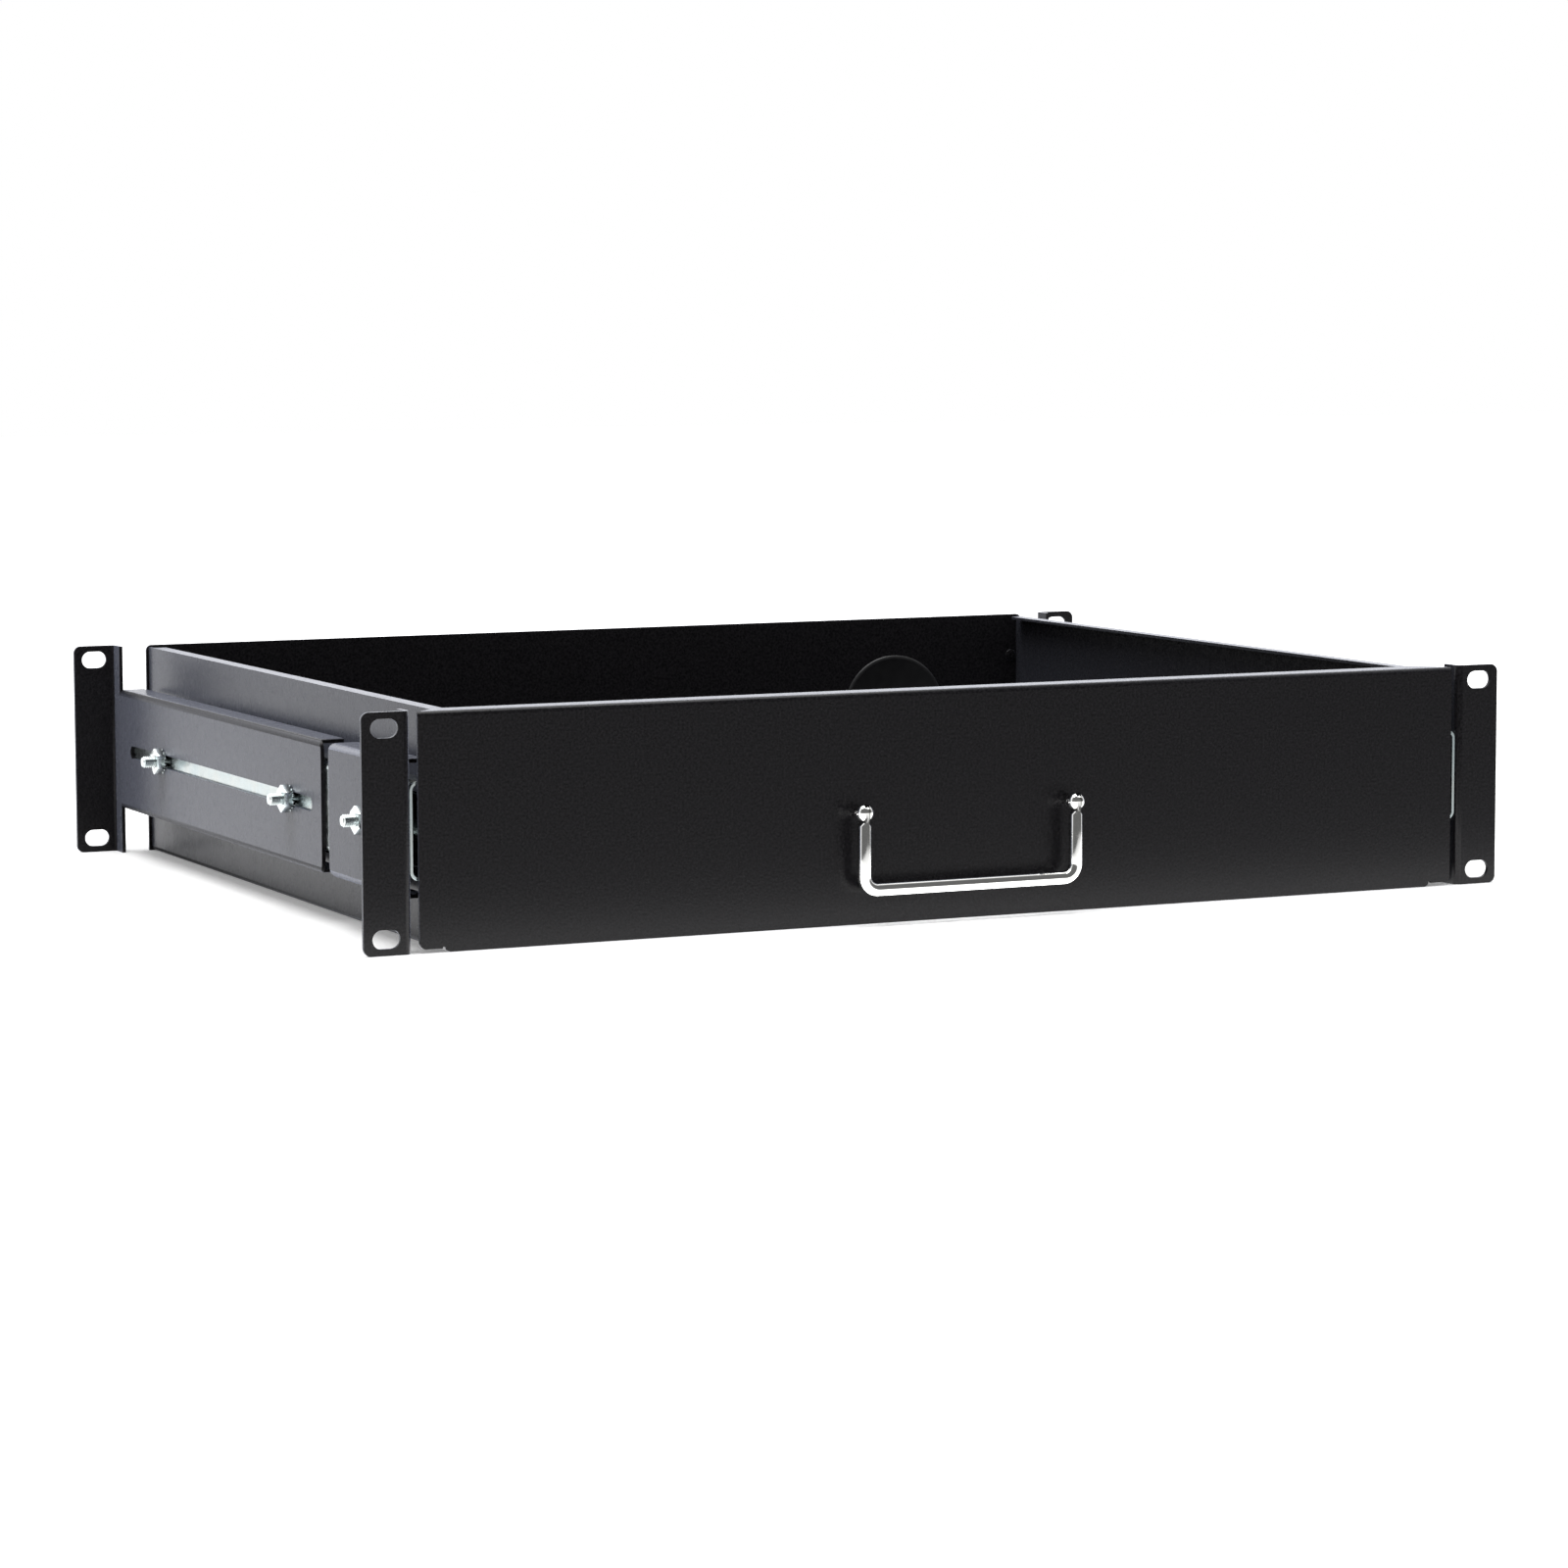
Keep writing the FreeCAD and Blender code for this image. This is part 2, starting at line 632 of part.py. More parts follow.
def build_middle_member():
    upper = [
        (d.middle_web + d.slide_sheet, middle_flange_inner), (d.middle_edge, middle_flange_inner),
        (d.middle_edge, middle_flange_outer), (d.middle_web, middle_flange_outer),
    ]
    races = [
        (d.outer_ball_line, outer_ball_rise, outer_race),
        (d.inner_ball_line, inner_ball_rise, inner_race),
    ]
    body = slide_member("slide_middle_left", mirrored_outline(upper), races, member_rear)
    round_bends(body, [
        (d.member_round, "y", levels_at(bracket_inner + d.middle_web, middle_flange_outer)),
    ])
    return body


def build_inner_member():
    web = d.slide_thickness - d.slide_sheet
    upper = [
        (web, inner_flange_outer - d.slide_sheet), (d.inner_edge, inner_flange_outer - d.slide_sheet),
        (d.inner_edge, inner_flange_outer), (d.slide_thickness, inner_flange_outer),
    ]
    races = [(d.inner_ball_line, inner_ball_rise, inner_race)]
    body = slide_member("slide_inner_left", mirrored_outline(upper), races, member_rear)
    web_holes(body, wall_screws, d.wall_screw / 2)
    round_bends(body, [(d.member_round, "y", levels_at(wall_outer, inner_flange_outer))])
    return body


def ball_places():
    """Ball centres along Y, spread evenly about the middle of a retainer."""
    span = d.retainer_length - d.outer_ball * 2
    count = int(span.number // d.ball_pitch.number) + 1
    middle = d.retainer_start + d.retainer_length / 2
    return [middle + d.ball_pitch * (index - (count - 1) / 2) for index in range(count)]


def build_balls(name, diameter, line, rise):
    """Two rows of steel balls of one slide stage."""
    balls = []
    for side, level in (("upper", d.mid_line + rise), ("lower", d.mid_line - rise)):
        for index, place_y in enumerate(ball_places()):
            ball = doc.addObject("Part::Sphere", f"{name}_{side}_{index}")
            bind(ball, "Radius", diameter / 2)
            place(ball, bracket_inner + line, place_y, level)
            balls.append(ball)
    return group(name, balls)


def build_retainers(name, diameter, line, rise):
    """Upper and lower strips that keep the balls of one stage apart."""
    centre = bracket_inner + line
    half_width = diameter / 2 + d.retainer_margin
    strips = []
    for side, level in (("upper", d.mid_line + rise), ("lower", d.mid_line - rise)):
        strip = block(f"{name}_{side}_strip", (centre - half_width, centre + half_width),
                      (d.retainer_start, d.retainer_start + d.retainer_length),
                      (level - d.retainer_sheet / 2, level + d.retainer_sheet / 2))
        holes = [rod(f"{name}_{side}_hole_{index}", "+Z", (centre, place_y, level - d.retainer_sheet),
                     d.retainer_sheet * 2, diameter / 2 + d.race_clearance)
                 for index, place_y in enumerate(ball_places())]
        strips.append(cut(f"{name}_{side}", strip, *holes))
    return group(name, strips)


def build_bumper():
    """Rubber stop that closes the rear end of the outer member."""
    half = inner_flange_outer
    return block("slide_bumper_left", (bracket_inner + d.slide_sheet, bracket_inner + d.outer_flange_depth),
                 (slide_rear - d.bumper_depth, slide_rear), (d.mid_line - half, d.mid_line + half))


# ---------------------------------------------------------------- bracket fasteners

def build_bracket_screws():
    """Low-headed screws whose heads lie inside the outer members."""
    screws = []
    seat = bracket_inner + d.slide_sheet
    reach = d.slide_sheet + d.bracket_sheet + d.washer_thickness + d.nut_height + d.screw_tail
    for index, bolt in enumerate(front_bolts + rear_bolts):
        head = rod(f"bracket_screw_head_{index}", "+X", (seat, bolt, d.mid_line),
                   d.screw_head_height, d.screw_head_diameter / 2)
        shank = rod(f"bracket_screw_shank_{index}", "-X", (seat, bolt, d.mid_line),
                    reach, d.screw_diameter / 2)
        screws.append(fuse(f"bracket_screw_{index}", head, shank))
    return group("bracket_screws_left", screws)


def build_lock_washers():
    """Toothed washers between the nuts and the brackets."""
    washers = []
    for index, bolt in enumerate(front_bolts + rear_bolts):
        seat = (bracket_outer, bolt, d.mid_line)
        disc = rod(f"lock_washer_disc_{index}", "-X", seat, d.washer_thickness, d.washer_diameter / 2)
        bore = rod(f"lock_washer_bore_{index}", "-X", seat, d.washer_thickness, d.screw_diameter / 2)
        washers.append(cut(f"lock_washer_{index}", disc, bore))
    return group("lock_washers_left", washers)


def build_bracket_nuts():
    nuts = []
    face = bracket_outer - d.washer_thickness
    for index, bolt in enumerate(front_bolts + rear_bolts):
        seat = (face, bolt, d.mid_line)
        blank = hexagon(f"bracket_nut_blank_{index}", "-X", seat, d.nut_height, d.nut_flats)
        bore = rod(f"bracket_nut_bore_{index}", "-X", seat, d.nut_height, d.screw_diameter / 2)
        nuts.append(cut(f"bracket_nut_{index}", blank, bore))
    return group("bracket_nuts_left", nuts)


# ---------------------------------------------------------------- drawer

def build_tray():
    """Floor, walls, front panel and flanges folded from one sheet."""
    body = new_body("drawer_tray")
    right = -wall_outer
    floor = sketch_on(body, "XY_Plane", tray_bottom)
    polygon(floor, [(wall_outer, as_size(0)), (right, as_size(0)), (right, d.tray_depth),
                    (wall_outer, d.tray_depth)])
    pad(body, floor, d.tray_sheet)

    wing = tray_bottom + d.panel_raise
    notch = wing + d.relief_height
    relief = right + d.relief_width
    panel_right = -panel_edge
    front = sketch_on(body, "XZ_Plane", as_size(0))
    polygon(front, [
        (wall_outer, tray_bottom), (right, tray_bottom), (right, notch), (relief, notch),
        (relief, wing), (panel_right, wing), (panel_right, tray_top), (panel_edge, tray_top),
        (panel_edge, wing), (-relief, wing), (-relief, notch), (wall_outer, notch),
    ])
    pad(body, front, d.tray_sheet, backwards=True)

    for side in (1, -1):
        wall = sketch_on(body, "YZ_Plane", wall_outer if side > 0 else right - d.tray_sheet)
        polygon(wall, [(as_size(0), tray_bottom), (d.tray_depth, tray_bottom), (d.tray_depth, side_top),
                       (as_size(0), side_top)])
        pad(body, wall, d.tray_sheet)

        rim = sketch_on(body, "XY_Plane", side_top - d.tray_sheet)
        start = d.front_flange + d.flange_gap
        end = d.tray_depth - d.rear_gap
        edge = wall_outer + d.side_flange
        polygon(rim, [(wall_outer * side, start), (edge * side, start), (edge * side, end),
                      (wall_outer * side, end)])
        pad(body, rim, d.tray_sheet)

        flap = sketch_on(body, "XZ_Plane", -back_outer)
        edge = wall_outer + d.rear_flap
        polygon(flap, [(wall_outer * side, tray_bottom), (edge * side, tray_bottom),
                       (edge * side, side_top), (wall_outer * side, side_top)])
        pad(body, flap, d.tray_sheet, backwards=True)

    back = sketch_on(body, "XZ_Plane", -back_inner)
    lap = right + d.back_lap
    polygon(back, [(-lap, tray_bottom), (lap, tray_bottom), (lap, back_top), (-lap, back_top)])
    circle(back, plug_across, d.plug_level, d.plug_hole / 2)
    pad(body, back, d.tray_sheet, backwards=True)

    lid = sketch_on(body, "XY_Plane", tray_top - d.tray_sheet)
    shoulder = -panel_edge - d.front_flange
    polygon(lid, [(panel_edge, as_size(0)), (panel_right, as_size(0)), (shoulder, d.front_flange),
                  (-shoulder, d.front_flange)])
    pad(body, lid, d.tray_sheet)

    cut_tray_holes(body)
    round_tray(body)
    return body


def cut_tray_holes(body):
    """Holes for the handle studs, the corner rivets and the slide screws."""
    studs = sketch_on(body, "XZ_Plane", as_size(0))
    for side in (1, -1):
        circle(studs, leg_x * side, d.handle_height, d.stud_diameter / 2)
    blind_pocket(body, studs, d.tray_sheet * 2)

    rivets = sketch_on(body, "XZ_Plane", -d.tray_depth)
    for side in (1, -1):
        for level in (d.rivet_span / 2, -(d.rivet_span / 2)):
            circle(rivets, rivet_across * side, level, d.rivet_diameter / 2)
    blind_pocket(body, rivets, d.tray_sheet * 3, reverse=True)

    screws = sketch_on(body, "YZ_Plane", as_size(0))
    for place_y in wall_screws:
        circle(screws, place_y, d.mid_line, d.wall_screw / 2)
    pocket(body, screws)


def round_tray(body):
    """Outside of every bend and the lower corners of the panel."""
    outer_bend = d.tray_bend + d.tray_sheet
    wing = tray_bottom + d.panel_raise
    lap = wall_outer - d.back_lap
    sides = (1, -1)
    round_bends(body, [
        (d.back_corner, "y", [{"x": lap * side, "z": back_top} for side in sides]),
        (d.panel_corner, "y", [{"x": panel_edge * side, "z": wing} for side in sides]),
        (outer_bend, "y", [{"x": wall_outer * side, "z": tray_bottom} for side in sides]),
        (outer_bend, "x", [{"y": as_size(0), "z": tray_top}]),
    ])


def build_corner_rivets():
    """Blind rivets through the back wall and the side walls' rear flaps."""
    rivets = []
    for label_x, side in (("left", 1), ("right", -1)):
        for label_z, level in (("upper", d.rivet_span / 2), ("lower", -(d.rivet_span / 2))):
            name = f"rivet_{label_x}_{label_z}"
            across = rivet_across * side
            seat = (across, back_inner, level)
            head = rod(f"{name}_head", "-Y", seat, d.rivet_dome, d.rivet_head / 2)
            dome = round_edges(f"{name}_dome", head,
                               [(d.rivet_dome * 0.8, [round_edge(head, back_inner - d.rivet_dome)])])
            shank = rod(f"{name}_shank", "+Y", seat, d.tray_sheet * 2, d.rivet_diameter / 2)
            tail = rod(f"{name}_tail", "+Y", (across, d.tray_depth, level), d.rivet_tail_height,
                       d.rivet_tail / 2)
            rivets.append(fuse(name, dome, shank, tail))
    return group("corner_rivets", rivets)


def build_wall_screws():
    """Pan-head screws from inside the drawer into the inner slide member."""
    screws = []
    for index, place_y in enumerate(wall_screws):
        seat = (wall_inner, place_y, d.mid_line)
        head = rod(f"wall_screw_head_{index}", "+X", seat, d.wall_screw_head_height, d.wall_screw_head / 2)
        shank = rod(f"wall_screw_shank_{index}", "-X", seat, d.tray_sheet + d.slide_sheet * 2,
                    d.wall_screw / 2)
        screws.append(fuse(f"wall_screw_{index}", head, shank))
    return group("drawer_screws_left", screws)


def build_plug():
    """Snap-in plug of the cable hole: a thin cap inside the drawer and a hollow skirt."""
    radius = d.plug_hole / 2
    middle = (plug_across, back_inner, d.plug_level)
    cap = rod("plug_cap", "-Y", middle, d.plug_cap, radius + d.plug_rim)
    skirt = rod("plug_skirt", "+Y", middle, d.plug_skirt, radius)
    hollow = rod("plug_hollow", "+Y", middle, d.plug_skirt, radius - d.plug_wall)
    return cut("cable_hole_plug", fuse("plug_solid", cap, skirt), hollow)


# ---------------------------------------------------------------- handle

def build_post():
    """Forked post: flange on the panel, neck, slotted round head, threaded stud to the inside."""
    face = pivot_y - d.post_reach
    head_rear = face + d.post_diameter
    half_slot = d.tongue_thickness / 2 + d.fork_clearance
    radius = d.post_diameter / 2
    head = rod("post_head", "-Y", (leg_x, head_rear, pivot_z), d.post_diameter, radius)
    ends = [round_edge(head, face), round_edge(head, head_rear)]
    rounded = round_edges("post_rounded", head, [(d.post_round, ends)])
    neck = rod("post_neck", "-Y", (leg_x, as_size(0), pivot_z), -pivot_y, d.post_neck / 2)
    flange = rod("post_flange", "-Y", (leg_x, as_size(0), pivot_z), d.post_flange_thickness,
                 d.post_flange_diameter / 2)
    stud_length = d.tray_sheet + d.stud_washer_thickness + d.stud_nut_height + d.stud_tail
    stud = rod("post_stud", "+Y", (leg_x, as_size(0), pivot_z), stud_length, d.stud_diameter / 2)
    slot = block("post_slot", (leg_x - half_slot, leg_x + half_slot),
                 (face - 1, pivot_y + d.fork_depth), (pivot_z - radius, pivot_z + radius))
    bore = rod("post_bore", "+X", (leg_x - radius, pivot_y, pivot_z), radius * 2, d.pin_diameter / 2)
    return cut("handle_post_left", fuse("post_solid", rounded, neck, flange, stud), slot, bore)


def build_pins():
    """Cross pins held in the forks, on which the handle swings."""
    reach = d.post_diameter / 2 - d.pin_inset
    pins = [rod(f"handle_pin_{index}", "+X", (leg_x * side - reach, pivot_y, pivot_z),
                reach * 2, d.pin_diameter / 2) for index, side in enumerate((1, -1))]
    return group("handle_pins", pins)


def build_stud_washers():
    washers = []
    for index, side in enumerate((1, -1)):
        seat = (leg_x * side, d.tray_sheet, pivot_z)
        disc = rod(f"stud_washer_disc_{index}", "+Y", seat, d.stud_washer_thickness,
                   d.stud_washer_diameter / 2)
        bore = rod(f"stud_washer_bore_{index}", "+Y", seat, d.stud_washer_thickness, d.stud_diameter / 2)
        washers.append(cut(f"stud_washer_{index}", disc, bore))
    return group("handle_washers", washers)


def build_stud_nuts():
    nuts = []
    for index, side in enumerate((1, -1)):
        seat = (leg_x * side, d.tray_sheet + d.stud_washer_thickness, pivot_z)
        blank = hexagon(f"stud_nut_blank_{index}", "+Y", seat, d.stud_nut_height, d.stud_nut_flats)
        bore = rod(f"stud_nut_bore_{index}", "+Y", seat, d.stud_nut_height, d.stud_diameter / 2)
        nuts.append(cut(f"stud_nut_{index}", blank, bore))
    return group("handle_nuts", nuts)


def corner_turn(name, side):
    """Quarter ring between a leg and the grip."""
    ring = doc.addObject("Part::Torus", name)
    bind(ring, "Radius1", d.handle_corner)
    bind(ring, "Radius2", d.handle_rod / 2)
    ring.Angle3 = 90
    turn = FreeCAD.Rotation(FreeCAD.Vector(1, 0, 0), 90)
    spin = FreeCAD.Rotation(FreeCAD.Vector(0, 1, 0), 180 - 90 * (side < 0))
    ring.Placement = FreeCAD.Placement(FreeCAD.Vector(), spin.multiply(turn))
    place(ring, (leg_x + d.handle_corner) * side, pivot_y,
          pivot_z - d.handle_drop + d.handle_corner)
    return ring


def build_bail():
    """Bent rod handle with flattened, drilled ends."""
    radius = d.handle_rod / 2
    pieces = []
    for side, label in ((1, "left"), (-1, "right")):
        leg_low = pivot_z - d.handle_drop + d.handle_corner
        leg_length = d.handle_drop - d.handle_corner - d.shoulder_drop
        centre = leg_x * side
        pieces.append(rod(f"leg_{label}", "+Z", (centre, pivot_y, leg_low), leg_length, radius))
        pieces.append(corner_turn(f"corner_{label}", side))
        pieces.append(block(f"tongue_{label}",
                            (centre - d.tongue_thickness / 2, centre + d.tongue_thickness / 2),
                            (pivot_y - radius, pivot_y + radius),
                            (pivot_z - d.shoulder_drop, pivot_z)))
        pieces.append(rod(f"tongue_end_{label}", "+X",
                          (centre - d.tongue_thickness / 2, pivot_y, pivot_z),
                          d.tongue_thickness, d.tongue_radius))
    grip_start = leg_x + d.handle_corner
    pieces.append(rod("grip", "+X", (grip_start, pivot_y, pivot_z - d.handle_drop),
                      -(grip_start * 2), radius))
    holes = [rod(f"tongue_bore_{index}", "+X", (leg_x * side - d.tongue_thickness, pivot_y, pivot_z),
                 d.tongue_thickness * 2, d.pin_diameter / 2 + d.pin_clearance)
             for index, side in enumerate((1, -1))]
    return cut("handle_bail", fuse("bail_solid", *pieces), *holes)


# ---------------------------------------------------------------- assembly and export

def build_all():
    pieces = []
    for left_piece in (
        build_front_bracket(), build_rear_bracket(), build_outer_member(), build_middle_member(),
        build_inner_member(),
        build_balls("outer_balls_left", d.outer_ball, d.outer_ball_line, outer_ball_rise),
        build_balls("inner_balls_left", d.inner_ball, d.inner_ball_line, inner_ball_rise),
        build_retainers("outer_retainers_left", d.outer_ball, d.outer_ball_line, outer_ball_rise),
        build_retainers("inner_retainers_left", d.inner_ball, d.inner_ball_line, inner_ball_rise),
        build_bumper(), build_bracket_screws(), build_lock_washers(), build_bracket_nuts(),
        build_wall_screws(), build_post(),
    ):
        pieces += mirrored_pair(left_piece)
    pieces += [
        build_tray(), build_corner_rivets(), build_plug(), build_pins(), build_stud_washers(),
        build_stud_nuts(), build_bail(),
    ]
    return pieces


def check(pieces):
    """Stops before anything is written if a feature failed or a shape is not sound."""
    for item in doc.Objects:
        if "Invalid" in item.State or "Error" in item.State:
            raise RuntimeError(f"{item.Name} failed: {item.State}")
    for piece in pieces:
        if piece.Shape.isNull() or not piece.Shape.isValid() or not piece.Shape.Solids:
            raise RuntimeError(f"{piece.Name} has no sound solid")


def export(pieces):
    os.makedirs("parts", exist_ok=True)
    for piece in pieces:
        piece.Label = piece.Name
        piece.Shape.exportStep(os.path.join("parts", f"{piece.Label}.step"))
        print(f"{piece.Label:24s} solids {len(piece.Shape.Solids):3d} volume {piece.Shape.Volume:10.1f}")


nodes = build_all()
doc.recompute()
check(nodes)
export(nodes)
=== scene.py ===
import math

import bmesh
import bpy
from mathutils import Matrix, Vector


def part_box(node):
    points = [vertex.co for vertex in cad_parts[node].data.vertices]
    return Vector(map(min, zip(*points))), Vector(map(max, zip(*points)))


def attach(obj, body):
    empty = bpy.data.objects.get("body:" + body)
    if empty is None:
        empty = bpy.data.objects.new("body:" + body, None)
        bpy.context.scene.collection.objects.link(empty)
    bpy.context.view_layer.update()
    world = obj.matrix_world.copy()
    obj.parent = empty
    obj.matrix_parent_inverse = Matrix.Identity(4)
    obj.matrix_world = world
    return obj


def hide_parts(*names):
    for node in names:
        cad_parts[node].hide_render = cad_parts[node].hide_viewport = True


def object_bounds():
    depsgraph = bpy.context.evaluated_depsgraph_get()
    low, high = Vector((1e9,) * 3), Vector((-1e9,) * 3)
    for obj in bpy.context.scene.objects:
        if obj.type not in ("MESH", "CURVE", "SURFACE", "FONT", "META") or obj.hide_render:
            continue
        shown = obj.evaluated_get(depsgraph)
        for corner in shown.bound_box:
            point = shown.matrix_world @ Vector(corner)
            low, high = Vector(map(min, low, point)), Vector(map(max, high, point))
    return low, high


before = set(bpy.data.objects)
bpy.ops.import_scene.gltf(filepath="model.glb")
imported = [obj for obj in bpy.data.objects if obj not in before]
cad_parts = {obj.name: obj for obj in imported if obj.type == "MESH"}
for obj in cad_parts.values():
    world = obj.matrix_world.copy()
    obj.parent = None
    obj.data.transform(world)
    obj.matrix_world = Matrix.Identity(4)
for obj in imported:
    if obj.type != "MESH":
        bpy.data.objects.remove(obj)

bl_info = {
    "name": "Sliding rack drawer",
    "version": (1, 0, 0),
    "blender": (4, 5, 0),
    "location": "View3D > Sidebar > Rack drawer",
    "description": "Dresses a two-unit sliding rack drawer: finishes, fasteners, drop handle and stage",
    "category": "Add Mesh",
}

MM = 0.001
WELD = 0.001 * MM       # points closer than this are one point
SNAP = 0.01 * MM        # a point this close to a plane lies on it
TONGUE = 1.8 * MM       # flattened end of a handle leg
FORK_PLAY = 0.3 * MM    # room for the tongue in the fork of its post
TONGUE_DROP = 5.0 * MM  # from the pivot down to the round part of a leg
TONGUE_ROOT = 1.0 * MM  # how far a tongue reaches into its leg
BEND_SHARE = 2.077      # centre line of the handle's corners, over the rod's radius
NECK_SHARE = 0.64       # neck of a handle post, over its ball's radius
HOLE_SHARE = 0.932      # cable hole, over the rim of its plug
STEM_SHARE = 0.59       # rivet body, over its head
TAIL_SHARE = 1.33       # swollen tail of a rivet, over its body
TIP_SHARE = 0.8         # chamfered end of a thread, over its crest
BORE_PLAY = 1.01        # bore of a nut or washer, over its thread
EDGE_ROUND = 0.12 * MM  # rounding of turned and cut edges

CAD_LOW, CAD_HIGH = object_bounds()
SIDES = ("left", "right")


def both_sides(*stems):
    return tuple(f"{stem}_{side}" for stem in stems for side in SIDES)


SHEET_METAL = ("drawer_tray", *both_sides("front_bracket", "rear_bracket"))
SLIDE_MEMBERS = both_sides("slide_outer", "slide_middle", "slide_inner")
RETAINERS = both_sides("outer_retainers", "inner_retainers")
BALLS = both_sides("outer_balls", "inner_balls")
BUMPERS = both_sides("slide_bumper")


# ---------------------------------------------------------------- settings

class RackDrawerFinish(bpy.types.PropertyGroup):
    """Colours and surface texture."""

    coat_colour: bpy.props.FloatVectorProperty(
        name="Powder coat", description="Colour of the black sheet metal", subtype="COLOR", size=3,
        default=(0.0066, 0.0061, 0.0068), min=0, max=1)
    coat_roughness: bpy.props.FloatProperty(
        name="Coat roughness", description="How satin the powder coat is", default=0.26, min=0, max=1)
    coat_grain: bpy.props.FloatProperty(
        name="Coat grain", description="Size of the powder coat's fine grain",
        default=0.0009, min=0.0001, unit="LENGTH", precision=5)
    coat_ripple: bpy.props.FloatProperty(
        name="Coat ripple", description="Size of the powder coat's orange peel",
        default=0.0016, min=0.0001, unit="LENGTH", precision=5)
    zinc_colour: bpy.props.FloatVectorProperty(
        name="Zinc plate", description="Colour of the slides", subtype="COLOR", size=3,
        default=(0.33, 0.385, 0.395), min=0, max=1)
    fastener_colour: bpy.props.FloatVectorProperty(
        name="Fasteners", description="Colour of the nuts, washers and screws", subtype="COLOR", size=3,
        default=(0.54, 0.61, 0.63), min=0, max=1)
    chrome_colour: bpy.props.FloatVectorProperty(
        name="Chrome", description="Colour of the handle", subtype="COLOR", size=3,
        default=(0.86, 0.86, 0.84), min=0, max=1)
    edge_round: bpy.props.FloatProperty(
        name="Sheet edge", description="Rounding that the coat leaves on sheet edges",
        default=0.00028, min=0, unit="LENGTH", precision=5)


class RackDrawerDetail(bpy.types.PropertyGroup):
    """Sizes of the small pieces that the frame only blocks in."""

    thread_pitch: bpy.props.FloatProperty(
        name="Thread pitch", description="Pitch of the bracket screws", default=0.000794,
        min=0.0003, unit="LENGTH", precision=5)
    thread_depth: bpy.props.FloatProperty(
        name="Thread depth", description="Depth of the bracket screws' thread", default=0.00043,
        min=0.0001, unit="LENGTH", precision=5)
    washer_teeth: bpy.props.IntProperty(
        name="Washer teeth", description="Teeth round a lock washer", default=12, min=6, max=24)
    tooth_depth: bpy.props.FloatProperty(
        name="Tooth depth", description="Depth of a lock washer's teeth", default=0.0012,
        min=0.0003, unit="LENGTH", precision=5)
    recess_width: bpy.props.FloatProperty(
        name="Recess width", description="Width of the cross recess in a drawer screw",
        default=0.0009, min=0.0003, unit="LENGTH", precision=5)
    leg_shoulder: bpy.props.FloatProperty(
        name="Leg shoulder", description="Height over which a handle leg is flattened",
        default=0.0016, min=0.0005, unit="LENGTH", precision=5)


class RackDrawerStage(bpy.types.PropertyGroup):
    """Floor, lights and camera."""

    floor_colour: bpy.props.FloatVectorProperty(
        name="Floor", description="Colour of the floor", subtype="COLOR", size=3,
        default=(0.86, 0.86, 0.86), min=0, max=1)
    front_floor: bpy.props.FloatProperty(
        name="Front floor", description="Colour that gloss sees far in front of the drawer",
        default=0.62, min=0, max=1)
    fade_start: bpy.props.FloatProperty(
        name="Fade start", description="Where the floor's fade starts, in front of the ears",
        default=-0.45, unit="LENGTH")
    fade_end: bpy.props.FloatProperty(
        name="Fade end", description="Where the floor's fade ends, in front of the ears",
        default=-0.05, unit="LENGTH")
    contact_glow: bpy.props.FloatProperty(
        name="Contact glow", description="Whiteness that the camera sees on the floor near the drawer",
        default=0.17, min=0)
    floor_glow: bpy.props.FloatProperty(
        name="Floor glow", description="Whiteness that the camera sees on the far floor besides its shading",
        default=1.0, min=0)
    near_glow: bpy.props.FloatProperty(
        name="Near glow", description="Brightness that gloss sees on the floor close to the panel",
        default=3.8, min=0)
    side_share: bpy.props.FloatProperty(
        name="Side share", description="Share of the near glow on the floor beside and behind the panel",
        default=0.11, min=0, max=1)
    backdrop_glow: bpy.props.FloatProperty(
        name="Backdrop glow", description="Brightness that gloss sees behind the drawer", default=2.1, min=0)
    front_glow: bpy.props.FloatProperty(
        name="Front glow", description="Brightness that gloss sees in front of the drawer",
        default=0.15, min=0)
    ambient: bpy.props.FloatProperty(
        name="Ambient", description="Brightness of the soft light from all round", default=0.75, min=0)
    key_power: bpy.props.FloatProperty(
        name="Key light", description="Power of the large soft light above", default=36.0, min=0)
    camera_place: bpy.props.FloatVectorProperty(
        name="Camera", description="Place of the camera", subtype="TRANSLATION", unit="LENGTH",
        default=(-0.8123, -1.5650, 0.1927))
    camera_heading: bpy.props.FloatProperty(
        name="Heading", description="Turn of the camera from straight ahead to the right",
        subtype="ANGLE", default=math.radians(25.239))
    camera_dip: bpy.props.FloatProperty(
        name="Dip", description="How far the camera looks down", subtype="ANGLE",
        default=math.radians(6.006))
    camera_roll: bpy.props.FloatProperty(
        name="Roll", description="Turn of the camera about its own line of sight", subtype="ANGLE",
        default=math.radians(-0.162))
    camera_lens: bpy.props.FloatProperty(
        name="Lens", description="Focal length in millimetres on a 36 mm sensor", default=107.25, min=10)


# ---------------------------------------------------------------- modelling helpers

def clear_selection():
    if bpy.context.object and bpy.context.object.mode != "OBJECT":
        bpy.ops.object.mode_set(mode="OBJECT")
    bpy.ops.object.select_all(action="DESELECT")


def pick(*objects):
    """Selects these objects only, the first one active."""
    clear_selection()
    for item in objects:
        item.select_set(True)
    bpy.context.view_layer.objects.active = objects[0]


def add_cylinder(name, sides, radius, length):
    """Upright cylinder whose lower face is at the origin."""
    clear_selection()
    bpy.ops.mesh.primitive_cylinder_add(vertices=sides, radius=radius, depth=length,
                                        location=(0, 0, length / 2))
    return start_piece(name)


